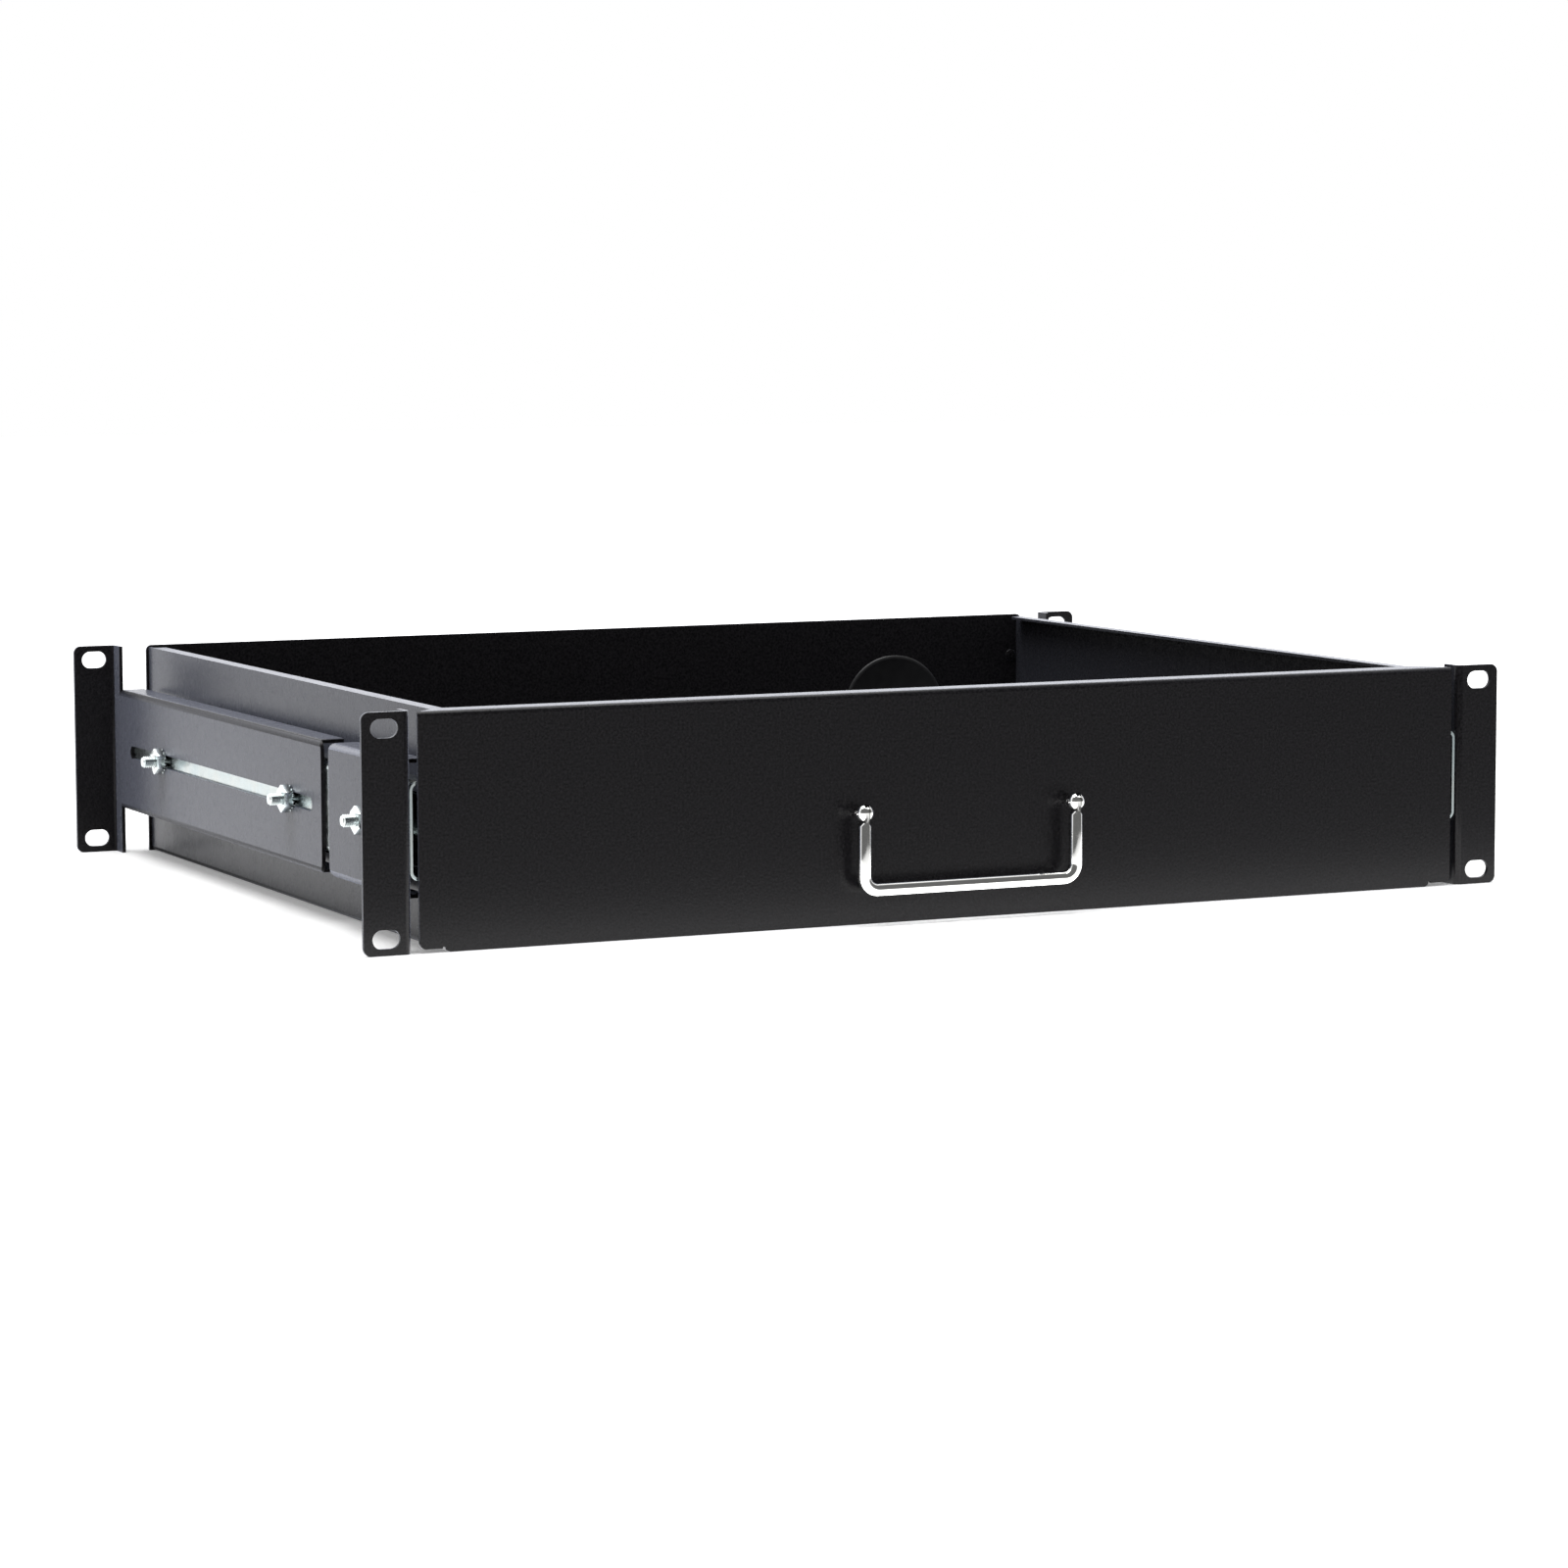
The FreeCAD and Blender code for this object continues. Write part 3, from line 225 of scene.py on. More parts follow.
def turned(name, profile, sides=40):
    """Upright round piece through (height, radius) pairs, lowest first."""
    (low, first), (high, second) = profile[:2]
    clear_selection()
    bpy.ops.mesh.primitive_cone_add(vertices=sides, radius1=first, radius2=second, depth=high - low,
                                    location=(0, 0, (low + high) / 2))
    piece = start_piece(name)
    edit(piece)
    select_where(piece, "faces", lambda f: f.normal.z > 0.9 and f.calc_center_median().z > high - 1e-7)
    for height, radius in profile[2:]:
        extrude((0, 0, height - high), (radius / second, radius / second, 1))
        high, second = height, radius
    leave_edit()
    return piece


def thread(low, high, crest, detail):
    """(height, radius) pairs of a thread between two heights."""
    turns = int((high - low) / detail.thread_pitch)
    pitch = (high - low) / turns
    root = crest - detail.thread_depth
    steps = ((0.1, root), (0.45, crest), (0.6, crest), (0.95, root))
    return [(low + pitch * (turn + part), radius) for turn in range(turns) for part, radius in steps]


def dome(low, high, radius, flat=0.3, steps=6):
    """(height, radius) pairs of a rounded end that starts at the full radius."""
    angles = [math.pi / 2 * (1 - flat) * step / steps for step in range(steps + 1)]
    rise = math.sin(angles[-1])
    return [(low + (high - low) * math.sin(angle) / rise, radius * math.cos(angle)) for angle in angles]


def add_block(name, size, centre):
    clear_selection()
    bpy.ops.mesh.primitive_cube_add(size=1, location=centre, scale=size)
    return start_piece(name)


def start_piece(name):
    """Names the new object and moves its place into its mesh."""
    piece = bpy.context.object
    piece.name = name
    piece.data.name = name
    bpy.ops.object.transform_apply(location=True, rotation=True, scale=True)
    return piece


def edit(piece, mode="FACE"):
    """Enters edit mode with nothing selected."""
    pick(piece)
    bpy.ops.object.mode_set(mode="EDIT")
    bpy.ops.mesh.select_mode(type=mode)
    bpy.ops.mesh.select_all(action="DESELECT")


def leave_edit():
    bpy.ops.object.mode_set(mode="OBJECT")


def select_where(piece, kind, test):
    """Selects the faces, edges or verts of the edited piece that pass a test."""
    mesh = bmesh.from_edit_mesh(piece.data)
    for element in getattr(mesh, kind):
        element.select_set(bool(test(element)))
    mesh.select_flush(True)
    bmesh.update_edit_mesh(piece.data)


def facing(direction, least=0.9):
    """Test for faces that look along a direction."""
    along = Vector(direction)
    return lambda face: face.normal.dot(along) > least


def extrude(offset=(0, 0, 0), scale=None):
    """Extrudes the selected faces, moves the new ones and may scale them."""
    bpy.ops.mesh.extrude_region_move(TRANSFORM_OT_translate={"value": offset})
    if scale is not None:
        bpy.ops.transform.resize(value=scale)


def apply_modifier(piece, kind, **values):
    pick(piece)
    modifier = piece.modifiers.new(kind.title(), kind)
    for key, value in values.items():
        setattr(modifier, key, value)
    bpy.ops.object.modifier_apply(modifier=modifier.name)


def round_off(piece, width, segments=2, angle=35):
    apply_modifier(piece, "BEVEL", width=width, segments=segments, limit_method="ANGLE",
                   angle_limit=math.radians(angle))


def drill(piece, radius, height, sides=32):
    """Cuts a clearance hole for a thread through an upright piece on the origin."""
    hole = add_cylinder("hole", sides, radius * BORE_PLAY, height * 3)
    hole.data.transform(Matrix.Translation((0, 0, -height)))
    combine(piece, hole, "DIFFERENCE")


def combine(piece, tool, operation):
    """Joins, cuts or intersects with a tool, which is used up."""
    apply_modifier(piece, "BOOLEAN", object=tool, operation=operation, solver="EXACT")
    bpy.data.objects.remove(tool)


def moved_copy(piece, name, matrix):
    """Copy with its own mesh, put in place by a matrix."""
    copy = piece.copy()
    copy.data = piece.data.copy()
    copy.name = name
    bpy.context.scene.collection.objects.link(copy)
    copy.data.transform(matrix)
    if matrix.determinant() < 0:
        copy.data.flip_normals()
    return copy


def join(name, pieces):
    pick(*pieces)
    if len(pieces) > 1:
        bpy.ops.object.join()
    joined = bpy.context.object
    joined.name = name
    joined.data.name = name
    return joined


def dress(piece, body, look, replaced=(), smooth=35):
    """Gives a finished piece its shading, finish and place in the frame."""
    pick(piece)
    bpy.ops.object.shade_smooth_by_angle(angle=math.radians(smooth))
    piece.data.materials.clear()
    piece.data.materials.append(look)
    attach(piece, body)
    if replaced:
        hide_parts(*replaced)
    clear_selection()


def solid_boxes(node):
    """Lowest and highest corner of each separate solid in a node."""
    mesh = bmesh.new()
    mesh.from_mesh(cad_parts[node].data)
    bmesh.ops.remove_doubles(mesh, verts=mesh.verts, dist=WELD)
    waiting = set(mesh.verts)
    boxes = []
    while waiting:
        reached = [waiting.pop()]
        found = []
        while reached:
            vert = reached.pop()
            found.append(vert.co.copy())
            for edge in vert.link_edges:
                other = edge.other_vert(vert)
                if other in waiting:
                    waiting.remove(other)
                    reached.append(other)
        low = Vector(min(co[axis] for co in found) for axis in range(3))
        high = Vector(max(co[axis] for co in found) for axis in range(3))
        boxes.append((low, high))
    mesh.free()
    return sorted(boxes, key=lambda pair: (round(pair[0].y, 5), round(pair[0].x, 5), round(pair[0].z, 5)))


def centre_of(pair):
    return (pair[0] + pair[1]) / 2


def outward_turn(side):
    """Turn that points an upright piece away from the drawer on its side."""
    return Matrix.Rotation(math.radians(-90 if side == "left" else 90), 4, "Y")


# ---------------------------------------------------------------- materials

class Finish:
    """A node material built step by step on Object coordinates."""

    def __init__(self, name):
        self.material = bpy.data.materials.new(name)
        self.material.use_nodes = True
        self.nodes = self.material.node_tree.nodes
        self.links = self.material.node_tree.links
        self.shader = self.nodes["Principled BSDF"]
        self.place = self.nodes.new("ShaderNodeTexCoord").outputs["Object"]

    def set(self, **values):
        for key, value in values.items():
            self.shader.inputs[key.replace("_", " ")].default_value = value

    def stretched(self, factors):
        mapping = self.nodes.new("ShaderNodeMapping")
        mapping.inputs["Scale"].default_value = factors
        self.links.new(self.place, mapping.inputs["Vector"])
        return mapping.outputs["Vector"]

    def noise(self, size, detail=2.0, roughness=0.5, factors=None):
        """Noise whose features are about size metres across."""
        noise = self.nodes.new("ShaderNodeTexNoise")
        noise.inputs["Scale"].default_value = 1 / size
        noise.inputs["Detail"].default_value = detail
        noise.inputs["Roughness"].default_value = roughness
        self.links.new(self.stretched(factors) if factors else self.place, noise.inputs["Vector"])
        return noise.outputs["Fac"]

    def ramp(self, factor, low, high, start=0.3, end=0.7):
        """Blends two colours by a factor."""
        ramp = self.nodes.new("ShaderNodeValToRGB")
        ramp.color_ramp.elements[0].position = start
        ramp.color_ramp.elements[1].position = end
        ramp.color_ramp.elements[0].color = (*low, 1)
        ramp.color_ramp.elements[1].color = (*high, 1)
        self.links.new(factor, ramp.inputs["Fac"])
        return ramp.outputs["Color"]

    def blend(self, factor, first, second):
        """Mixes two colours, each a socket or a value, by a factor."""
        mix = self.nodes.new("ShaderNodeMixRGB")
        self.links.new(factor, mix.inputs["Fac"])
        for socket, colour in (("Color1", first), ("Color2", second)):
            if isinstance(colour, bpy.types.NodeSocket):
                self.links.new(colour, mix.inputs[socket])
            else:
                mix.inputs[socket].default_value = colour
        return mix.outputs["Color"]

    def spread(self, factor, low, high, start=0.3, end=0.7):
        """Maps a factor to a range of numbers."""
        spread = self.nodes.new("ShaderNodeMapRange")
        spread.inputs["From Min"].default_value = start
        spread.inputs["From Max"].default_value = end
        spread.inputs["To Min"].default_value = low
        spread.inputs["To Max"].default_value = high
        self.links.new(factor, spread.inputs["Value"])
        return spread.outputs["Result"]

    def calculate(self, operation, first, second):
        """Combines two sockets, or a socket and a number."""
        step = self.nodes.new("ShaderNodeMath")
        step.operation = operation
        self.links.new(first, step.inputs[0])
        if isinstance(second, bpy.types.NodeSocket):
            self.links.new(second, step.inputs[1])
        else:
            step.inputs[1].default_value = second
        return step.outputs[0]

    def bump(self, height, distance):
        """Adds a height field on top of earlier ones."""
        bump = self.nodes.new("ShaderNodeBump")
        bump.inputs["Strength"].default_value = 1.0
        bump.inputs["Distance"].default_value = distance
        self.links.new(height, bump.inputs["Height"])
        normal = self.shader.inputs["Normal"]
        if normal.is_linked:
            self.links.new(normal.links[0].from_socket, bump.inputs["Normal"])
        self.links.new(bump.outputs["Normal"], normal)

    def drive(self, socket, output):
        self.links.new(output, self.shader.inputs[socket])


def tint(colour, factor):
    return tuple(channel * factor for channel in colour)


def powder_coat(settings):
    """Satin black powder coat: a speckled grain over a soft orange peel, with a bluish bloom."""
    finish = Finish("satin_black_powder_coat")
    finish.set(IOR=1.5, Specular_IOR_Level=0.10, Sheen_Weight=0.62, Sheen_Roughness=0.3,
               Sheen_Tint=(0.74, 0.79, 1.0, 1))
    colour = tuple(settings.coat_colour)
    speckle = finish.noise(settings.coat_grain, 3.0, 0.6)
    finish.drive("Base Color", finish.ramp(speckle, tint(colour, 0.35), tint(colour, 1.65), 0.35, 0.65))
    rough = settings.coat_roughness
    finish.drive("Roughness", finish.spread(finish.noise(0.004, 4), rough - 0.02, rough + 0.03))
    finish.bump(finish.noise(settings.coat_ripple, 1.0), 0.000012)
    finish.bump(finish.noise(settings.coat_grain, 2.0), 0.00005)
    return finish.material


def zinc_plate(name, colour, rolled):
    """Bright zinc with a bluish passivation, with rolling lines along Y if asked."""
    finish = Finish(name)
    finish.set(Metallic=1.0)
    colour = tuple(colour)
    warm = tuple(channel * shift for channel, shift in zip(colour, (1.10, 1.01, 0.96)))
    finish.drive("Base Color", finish.ramp(finish.noise(0.009, 3), colour, warm))
    finish.drive("Roughness", finish.spread(finish.noise(0.003, 3), 0.17, 0.27))
    if rolled:
        finish.bump(finish.noise(0.0005, 2.0, factors=(1, 0.02, 1)), 0.000004)
    finish.bump(finish.noise(0.0008, 2.0), 0.000004)
    return finish.material


def chrome_plate(settings):
    """Bright chrome with faint polishing marks."""
    finish = Finish("bright_chrome")
    finish.set(Metallic=1.0)
    colour = tuple(settings.chrome_colour)
    finish.drive("Base Color", finish.ramp(finish.noise(0.006, 2), tint(colour, 0.96), colour))
    finish.drive("Roughness", finish.spread(finish.noise(0.0025, 3), 0.05, 0.10))
    finish.bump(finish.noise(0.0012, 2.0), 0.000003)
    return finish.material


def bearing_steel():
    finish = Finish("polished_bearing_steel")
    finish.set(Metallic=1.0)
    finish.drive("Base Color", finish.ramp(finish.noise(0.003), (0.66, 0.66, 0.67), (0.74, 0.74, 0.75)))
    finish.drive("Roughness", finish.spread(finish.noise(0.0012), 0.05, 0.09))
    return finish.material


def black_plastic():
    finish = Finish("black_nylon")
    finish.drive("Base Color", finish.ramp(finish.noise(0.004), (0.011, 0.011, 0.012), (0.016, 0.016, 0.017)))
    finish.drive("Roughness", finish.spread(finish.noise(0.002, 3), 0.30, 0.40))
    finish.bump(finish.noise(0.0006), 0.000008)
    return finish.material


def black_rubber():
    finish = Finish("black_rubber")
    finish.drive("Base Color", finish.ramp(finish.noise(0.003), (0.016, 0.016, 0.016), (0.024, 0.024, 0.024)))
    finish.drive("Roughness", finish.spread(finish.noise(0.0015, 3), 0.65, 0.80))
    finish.bump(finish.noise(0.0005, 3), 0.00002)
    return finish.material


def material(name, make, *values):
    """The named material, made the first time that it is asked for."""
    return bpy.data.materials.get(name) or make(*values)


def zinc_fastener(finish):
    name = "zinc_fastener_plate"
    return material(name, zinc_plate, name, finish.fastener_colour, False)


def chrome(finish):
    return material("bright_chrome", chrome_plate, finish)


# ---------------------------------------------------------------- pieces

class RACKDRAWER_OT_finish_sheet_metal(bpy.types.Operator):
    """Coat the drawer and its brackets and round their sheet edges"""

    bl_idname = "rackdrawer.finish_sheet_metal"
    bl_label = "Finish sheet metal"

    def execute(self, context):
        settings = context.scene.rackdrawer_finish
        coat = material("satin_black_powder_coat", powder_coat, settings)
        for node in SHEET_METAL:
            soften_edges(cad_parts[node], settings.edge_round)
            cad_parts[node].material_slots[0].material = coat
        return {"FINISHED"}


def soften_edges(item, width):
    """Live modifiers that round the sharp edges of a frame node."""
    weld = item.modifiers.new("Weld", "WELD")
    weld.merge_threshold = WELD
    bevel = item.modifiers.new("Edges", "BEVEL")
    bevel.width = width
    bevel.segments = 2
    bevel.limit_method = "ANGLE"
    bevel.angle_limit = math.radians(40)
    bevel.use_clamp_overlap = True


class RACKDRAWER_OT_finish_slides(bpy.types.Operator):
    """Plate the slide members, polish the balls and blacken the rubber stops"""

    bl_idname = "rackdrawer.finish_slides"
    bl_label = "Finish slides"

    def execute(self, context):
        settings = context.scene.rackdrawer_finish
        rolled = zinc_plate("zinc_rolled_plate", settings.zinc_colour, True)
        finishes = [(SLIDE_MEMBERS + RETAINERS, rolled), (BALLS, bearing_steel()), (BUMPERS, black_rubber())]
        for nodes, look in finishes:
            for node in nodes:
                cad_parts[node].material_slots[0].material = look
        for node in SLIDE_MEMBERS + BUMPERS:
            soften_edges(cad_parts[node], 0.15 * MM)
        return {"FINISHED"}


class RACKDRAWER_OT_make_bracket_nuts(bpy.types.Operator):
    """Model the chamfered hexagon nuts of the brackets"""

    bl_idname = "rackdrawer.make_bracket_nuts"
    bl_label = "Bracket nuts"

    def execute(self, context):
        look = zinc_fastener(context.scene.rackdrawer_finish)
        low, high = solid_boxes("bracket_nuts_left")[0]
        nut = hexagon_nut("bracket_nut", high.x - low.x, (high.z - low.z) / 2, screw_radius())
        for side in SIDES:
            node = f"bracket_nuts_{side}"
            place_group(nut, node, f"hex_nuts_{side}", "frame", look, outward_turn(side))
        bpy.data.objects.remove(nut)
        return {"FINISHED"}


def screw_radius():
    """Radius of a bracket screw's thread, from the outer end of the first screw."""
    nut = solid_boxes("bracket_nuts_left")[0]
    middle = centre_of(nut)
    nut_width = nut[1].y - nut[0].y
    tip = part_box("bracket_screws_left")[0].x
    ring = [vert.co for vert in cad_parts["bracket_screws_left"].data.vertices
            if abs(vert.co.x - tip) < SNAP and abs(vert.co.y - middle.y) < nut_width]
    return max(math.hypot(co.y - middle.y, co.z - middle.z) for co in ring)


def hexagon_nut(name, height, corner, bore):
    """Upright nut with turned chamfers and one corner towards +X."""
    nut = add_cylinder(name, 6, corner, height)
    nut.data.transform(Matrix.Rotation(math.radians(90), 4, "Z"))
    blank = add_cylinder("nut_blank", 48, corner * 1.002, height)
    round_off(blank, corner * 0.05, segments=1, angle=60)
    combine(nut, blank, "INTERSECT")
    drill(nut, bore, height)
    round_off(nut, EDGE_ROUND, segments=2, angle=25)
    return nut


def place_group(master, node, name, body, look, turn):
    """Copies an upright master to each solid of a node and joins the copies."""
    copies = []
    for index, pair in enumerate(solid_boxes(node)):
        middle = centre_of(pair)
        outward = turn.to_3x3() @ Vector((0, 0, 1))
        half = abs((pair[1] - pair[0]).dot(outward)) / 2
        start = middle - outward * half
        copies.append(moved_copy(master, f"{name}_{index}", Matrix.Translation(start) @ turn))
    dress(join(name, copies), body, look, (node,))


class RACKDRAWER_OT_make_lock_washers(bpy.types.Operator):
    """Model the toothed lock washers under the bracket nuts"""

    bl_idname = "rackdrawer.make_lock_washers"
    bl_label = "Lock washers"

    def execute(self, context):
        detail = context.scene.rackdrawer_detail
        look = zinc_fastener(context.scene.rackdrawer_finish)
        low, high = solid_boxes("lock_washers_left")[0]
        radius = (high.z - low.z) / 2
        thickness = high.x - low.x
        washer = add_cylinder("lock_washer", detail.washer_teeth * 4, radius, thickness)
        edit(washer, "VERT")
        step = math.tau / (detail.washer_teeth * 4)
        select_where(washer, "verts", lambda v: round(math.atan2(v.co.y, v.co.x) / step) % 4 in (0, 1))
        root = 1 - detail.tooth_depth / radius
        bpy.ops.transform.resize(value=(root, root, 1))
        leave_edit()
        drill(washer, screw_radius(), thickness)
        round_off(washer, 0.08 * MM, segments=1)
        for side in SIDES:
            node = f"lock_washers_{side}"
            place_group(washer, node, f"toothed_washers_{side}", "frame", look,
                        outward_turn(side))
        bpy.data.objects.remove(washer)
        return {"FINISHED"}


class RACKDRAWER_OT_make_bracket_screws(bpy.types.Operator):
    """Model the threaded screws with their low heads"""

    bl_idname = "rackdrawer.make_bracket_screws"
    bl_label = "Bracket screws"

    def execute(self, context):
        detail = context.scene.rackdrawer_detail
        look = zinc_fastener(context.scene.rackdrawer_finish)
        low, high = solid_boxes("bracket_screws_left")[0]
        length = high.x - low.x
        head_radius = (high.z - low.z) / 2
        head_height = high.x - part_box("slide_outer_left")[0].x - slide_wall()
        crest = screw_radius()
        edge = 0.3 * MM
        profile = [(0, head_radius * 0.94), (edge, head_radius), (head_height, head_radius)]
        profile += thread(head_height, length - edge, crest, detail)
        screw = turned("bracket_screw", profile + [(length, crest * TIP_SHARE)], sides=32)
        for side in SIDES:
            node = f"bracket_screws_{side}"
            place_group(screw, node, f"threaded_screws_{side}", "frame", look,
                        outward_turn(side))
        bpy.data.objects.remove(screw)
        return {"FINISHED"}


def slide_wall():
    """Thickness of the outer member's web, which the screw heads clamp."""
    return abs(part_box("slide_bumper_left")[0].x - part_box("slide_outer_left")[0].x)


class RACKDRAWER_OT_make_drawer_screws(bpy.types.Operator):
    """Model the pan-head screws inside the drawer"""

    bl_idname = "rackdrawer.make_drawer_screws"
    bl_label = "Drawer screws"

    def execute(self, context):
        detail = context.scene.rackdrawer_detail
        look = zinc_fastener(context.scene.rackdrawer_finish)
        low, high = solid_boxes("drawer_screws_left")[0]
        length = high.x - low.x
        radius = (high.z - low.z) / 2
        head = abs(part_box("drawer_screws_left")[1].x - tray_wall_inside())
        shank = 2.0 * MM
        profile = [(0, shank), (length - head, shank), (length - head, radius)]
        cap = turned("drawer_screw", profile + dome(length - head * 0.8, length, radius))
        for turn in (0, 90):
            slot = add_block("recess", (radius * 1.15, detail.recess_width, head), (0, 0, length))
            slot.data.transform(Matrix.Rotation(math.radians(turn), 4, "Z"))
            combine(cap, slot, "DIFFERENCE")
        for side in SIDES:
            node = f"drawer_screws_{side}"
            inward = outward_turn("right" if side == "left" else "left")
            place_group(cap, node, f"pan_screws_{side}", "drawer", look, inward)
        bpy.data.objects.remove(cap)
        return {"FINISHED"}


def tray_wall_inside():
    """Place along X of the left wall's inner face, where the drawer screws' heads sit."""
    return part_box("slide_inner_left")[1].x + sheet_of_tray()


def sheet_of_tray():
    """Sheet thickness of the drawer: the posts' washers start at the panel's inner face."""
    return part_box("handle_washers")[0].y


class RACKDRAWER_OT_make_rivets(bpy.types.Operator):
    """Model the domed blind rivets at the drawer's rear corners"""

    bl_idname = "rackdrawer.make_rivets"
    bl_label = "Corner rivets"

    def execute(self, context):
        look = material("satin_black_powder_coat", powder_coat, context.scene.rackdrawer_finish)
        low, high = solid_boxes("corner_rivets")[0]
        length = high.y - low.y
        head_radius = (high.x - low.x) / 2
        tail_end = high.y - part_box("drawer_tray")[1].y
        head_seat = tail_end + sheet_of_tray() * 2
        stem = head_radius * STEM_SHARE
        tail = stem * TAIL_SHARE
        profile = [(0, stem * 1.05), (tail_end * 0.3, tail), (tail_end, tail), (tail_end, stem)]
        profile += [(head_seat, stem), (head_seat, head_radius)]
        profile += dome(head_seat + 0.15 * MM, length, head_radius, flat=0.25)
        pit = stem * 0.55
        rivet = turned("corner_rivet", profile + [(length, pit), (length - 0.35 * MM, pit * 0.95)])
        turn = Matrix.Rotation(math.radians(90), 4, "X")
        place_group(rivet, "corner_rivets", "domed_rivets", "drawer", look, turn)
        bpy.data.objects.remove(rivet)
        return {"FINISHED"}


class RACKDRAWER_OT_make_cable_plug(bpy.types.Operator):
    """Model the snap-in plug of the cable hole"""

    bl_idname = "rackdrawer.make_cable_plug"
    bl_label = "Cable hole plug"

    def execute(self, context):
        low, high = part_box("cable_hole_plug")
        radius = (high.x - low.x) / 2
        length = high.y - low.y
        cap_low = high.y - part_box("drawer_tray")[1].y + sheet_of_tray() * 2
        hole = radius * HOLE_SHARE
        skirt = hole * 0.999
        profile = [(0, hole * 0.94), (0, hole * 0.985), (length * 0.25, skirt), (cap_low, skirt)]
        profile += [(cap_low, radius), (length - 0.5 * MM, radius), (length - 0.15 * MM, radius * 0.985)]
        profile += [(length, radius * 0.965), (length, radius * 0.935), (length - 0.3 * MM, radius * 0.915)]
        plug = turned("snap_in_plug", profile, sides=96)
        hollow = add_cylinder("plug_hollow", 96, hole * 0.93, cap_low)
        hollow.data.transform(Matrix.Translation((0, 0, -SNAP)))
        combine(plug, hollow, "DIFFERENCE")
        middle = (low + high) / 2
        turn = Matrix.Translation((middle.x, high.y, middle.z)) @ Matrix.Rotation(math.radians(90), 4, "X")
        plug.data.transform(turn)
        dress(plug, "drawer", black_plastic(), ("cable_hole_plug",))
        return {"FINISHED"}


# ---------------------------------------------------------------- handle

class RACKDRAWER_OT_make_handle_posts(bpy.types.Operator):
    """Model the forked posts with their threaded studs"""

    bl_idname = "rackdrawer.make_handle_posts"
    bl_label = "Handle posts"

    def execute(self, context):
        detail = context.scene.rackdrawer_detail
        look = chrome(context.scene.rackdrawer_finish)
        low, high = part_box("handle_post_left")
        radius = (high.z - low.z) / 2
        pin_low, pin_high = solid_boxes("handle_pins")[0]
        pin = (pin_high - pin_low).z / 2
        pivot = -(pin_low.y + pin_high.y) / 2
        crest = stud_radius()
        neck = radius * NECK_SHARE
        profile = [(-high.y, crest * TIP_SHARE), (-high.y + 0.35 * MM, crest)]
        profile += thread(-high.y + 0.4 * MM, -sheet_of_tray() - 0.3 * MM, crest, detail)
        profile += [(-SNAP, crest), (0.0, neck), (pivot - radius * 0.86, neck)]
        angles = [math.radians(angle) for angle in range(-50, 71, 10)]
        profile += [(pivot + radius * math.sin(angle), radius * math.cos(angle)) for angle in angles]
        profile += [(-low.y, radius * 0.16)]
        post = turned("handle_post", profile, sides=48)
        depth = radius * 2
        slot_floor = pivot - radius * 0.915
        slot = add_block("fork_slot", (TONGUE + FORK_PLAY, radius * 3, depth), (0, 0, slot_floor + depth / 2))
        combine(post, slot, "DIFFERENCE")
        bore = add_cylinder("pin_bore", 24, pin, radius * 4)
        to_side = Matrix.Rotation(math.radians(90), 4, "Y")
        bore.data.transform(Matrix.Translation((-radius * 2, 0, pivot)) @ to_side)
        combine(post, bore, "DIFFERENCE")
        round_off(post, EDGE_ROUND, segments=2, angle=45)
        for side in SIDES:
            node = f"handle_post_{side}"
            middle = centre_of(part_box(node))
            forward = Matrix.Rotation(math.radians(90), 4, "X")
            place = Matrix.Translation((middle.x, 0, middle.z)) @ forward
            copy = moved_copy(post, f"forked_post_{side}", place)
            dress(copy, "drawer", look, (node,))
        bpy.data.objects.remove(post)
        return {"FINISHED"}


def stud_radius():
    """Radius of a post's threaded stud, from the rear end of its node."""
    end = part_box("handle_post_left")[1].y
    middle = centre_of(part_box("handle_post_left"))
    ring = [vert.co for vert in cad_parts["handle_post_left"].data.vertices
            if abs(vert.co.y - end) < SNAP]
    return max(math.hypot(co.x - middle.x, co.z - middle.z) for co in ring)


class RACKDRAWER_OT_make_handle_pins(bpy.types.Operator):
    """Model the cross pins, washers and nuts of the handle"""

    bl_idname = "rackdrawer.make_handle_pins"
    bl_label = "Handle pins and nuts"

    def execute(self, context):
        finish = context.scene.rackdrawer_finish
        low, high = solid_boxes("handle_pins")[0]
        radius = (high.z - low.z) / 2
        length = high.x - low.x
        edge = radius * 0.25
        profile = [(0, radius - edge), (edge, radius), (length - edge, radius), (length, radius - edge)]
        pin = turned("handle_pin", profile, sides=24)
        place_group(pin, "handle_pins", "cross_pins", "drawer", chrome(finish),
                    outward_turn("right"))
        bpy.data.objects.remove(pin)

        backward = Matrix.Rotation(math.radians(-90), 4, "X")
        zinc = zinc_fastener(finish)
        low, high = solid_boxes("handle_nuts")[0]
        nut = hexagon_nut("stud_nut", high.y - low.y, (high.x - low.x) / 2, stud_radius())
        place_group(nut, "handle_nuts", "stud_hex_nuts", "drawer", zinc, backward)
        bpy.data.objects.remove(nut)
        low, high = solid_boxes("handle_washers")[0]
        thickness = high.y - low.y
        washer = add_cylinder("stud_washer", 48, (high.x - low.x) / 2, thickness)
        drill(washer, stud_radius(), thickness, sides=48)
        round_off(washer, 0.1 * MM, segments=1)
        place_group(washer, "handle_washers", "stud_flat_washers", "drawer", zinc, backward)
        bpy.data.objects.remove(washer)
        return {"FINISHED"}


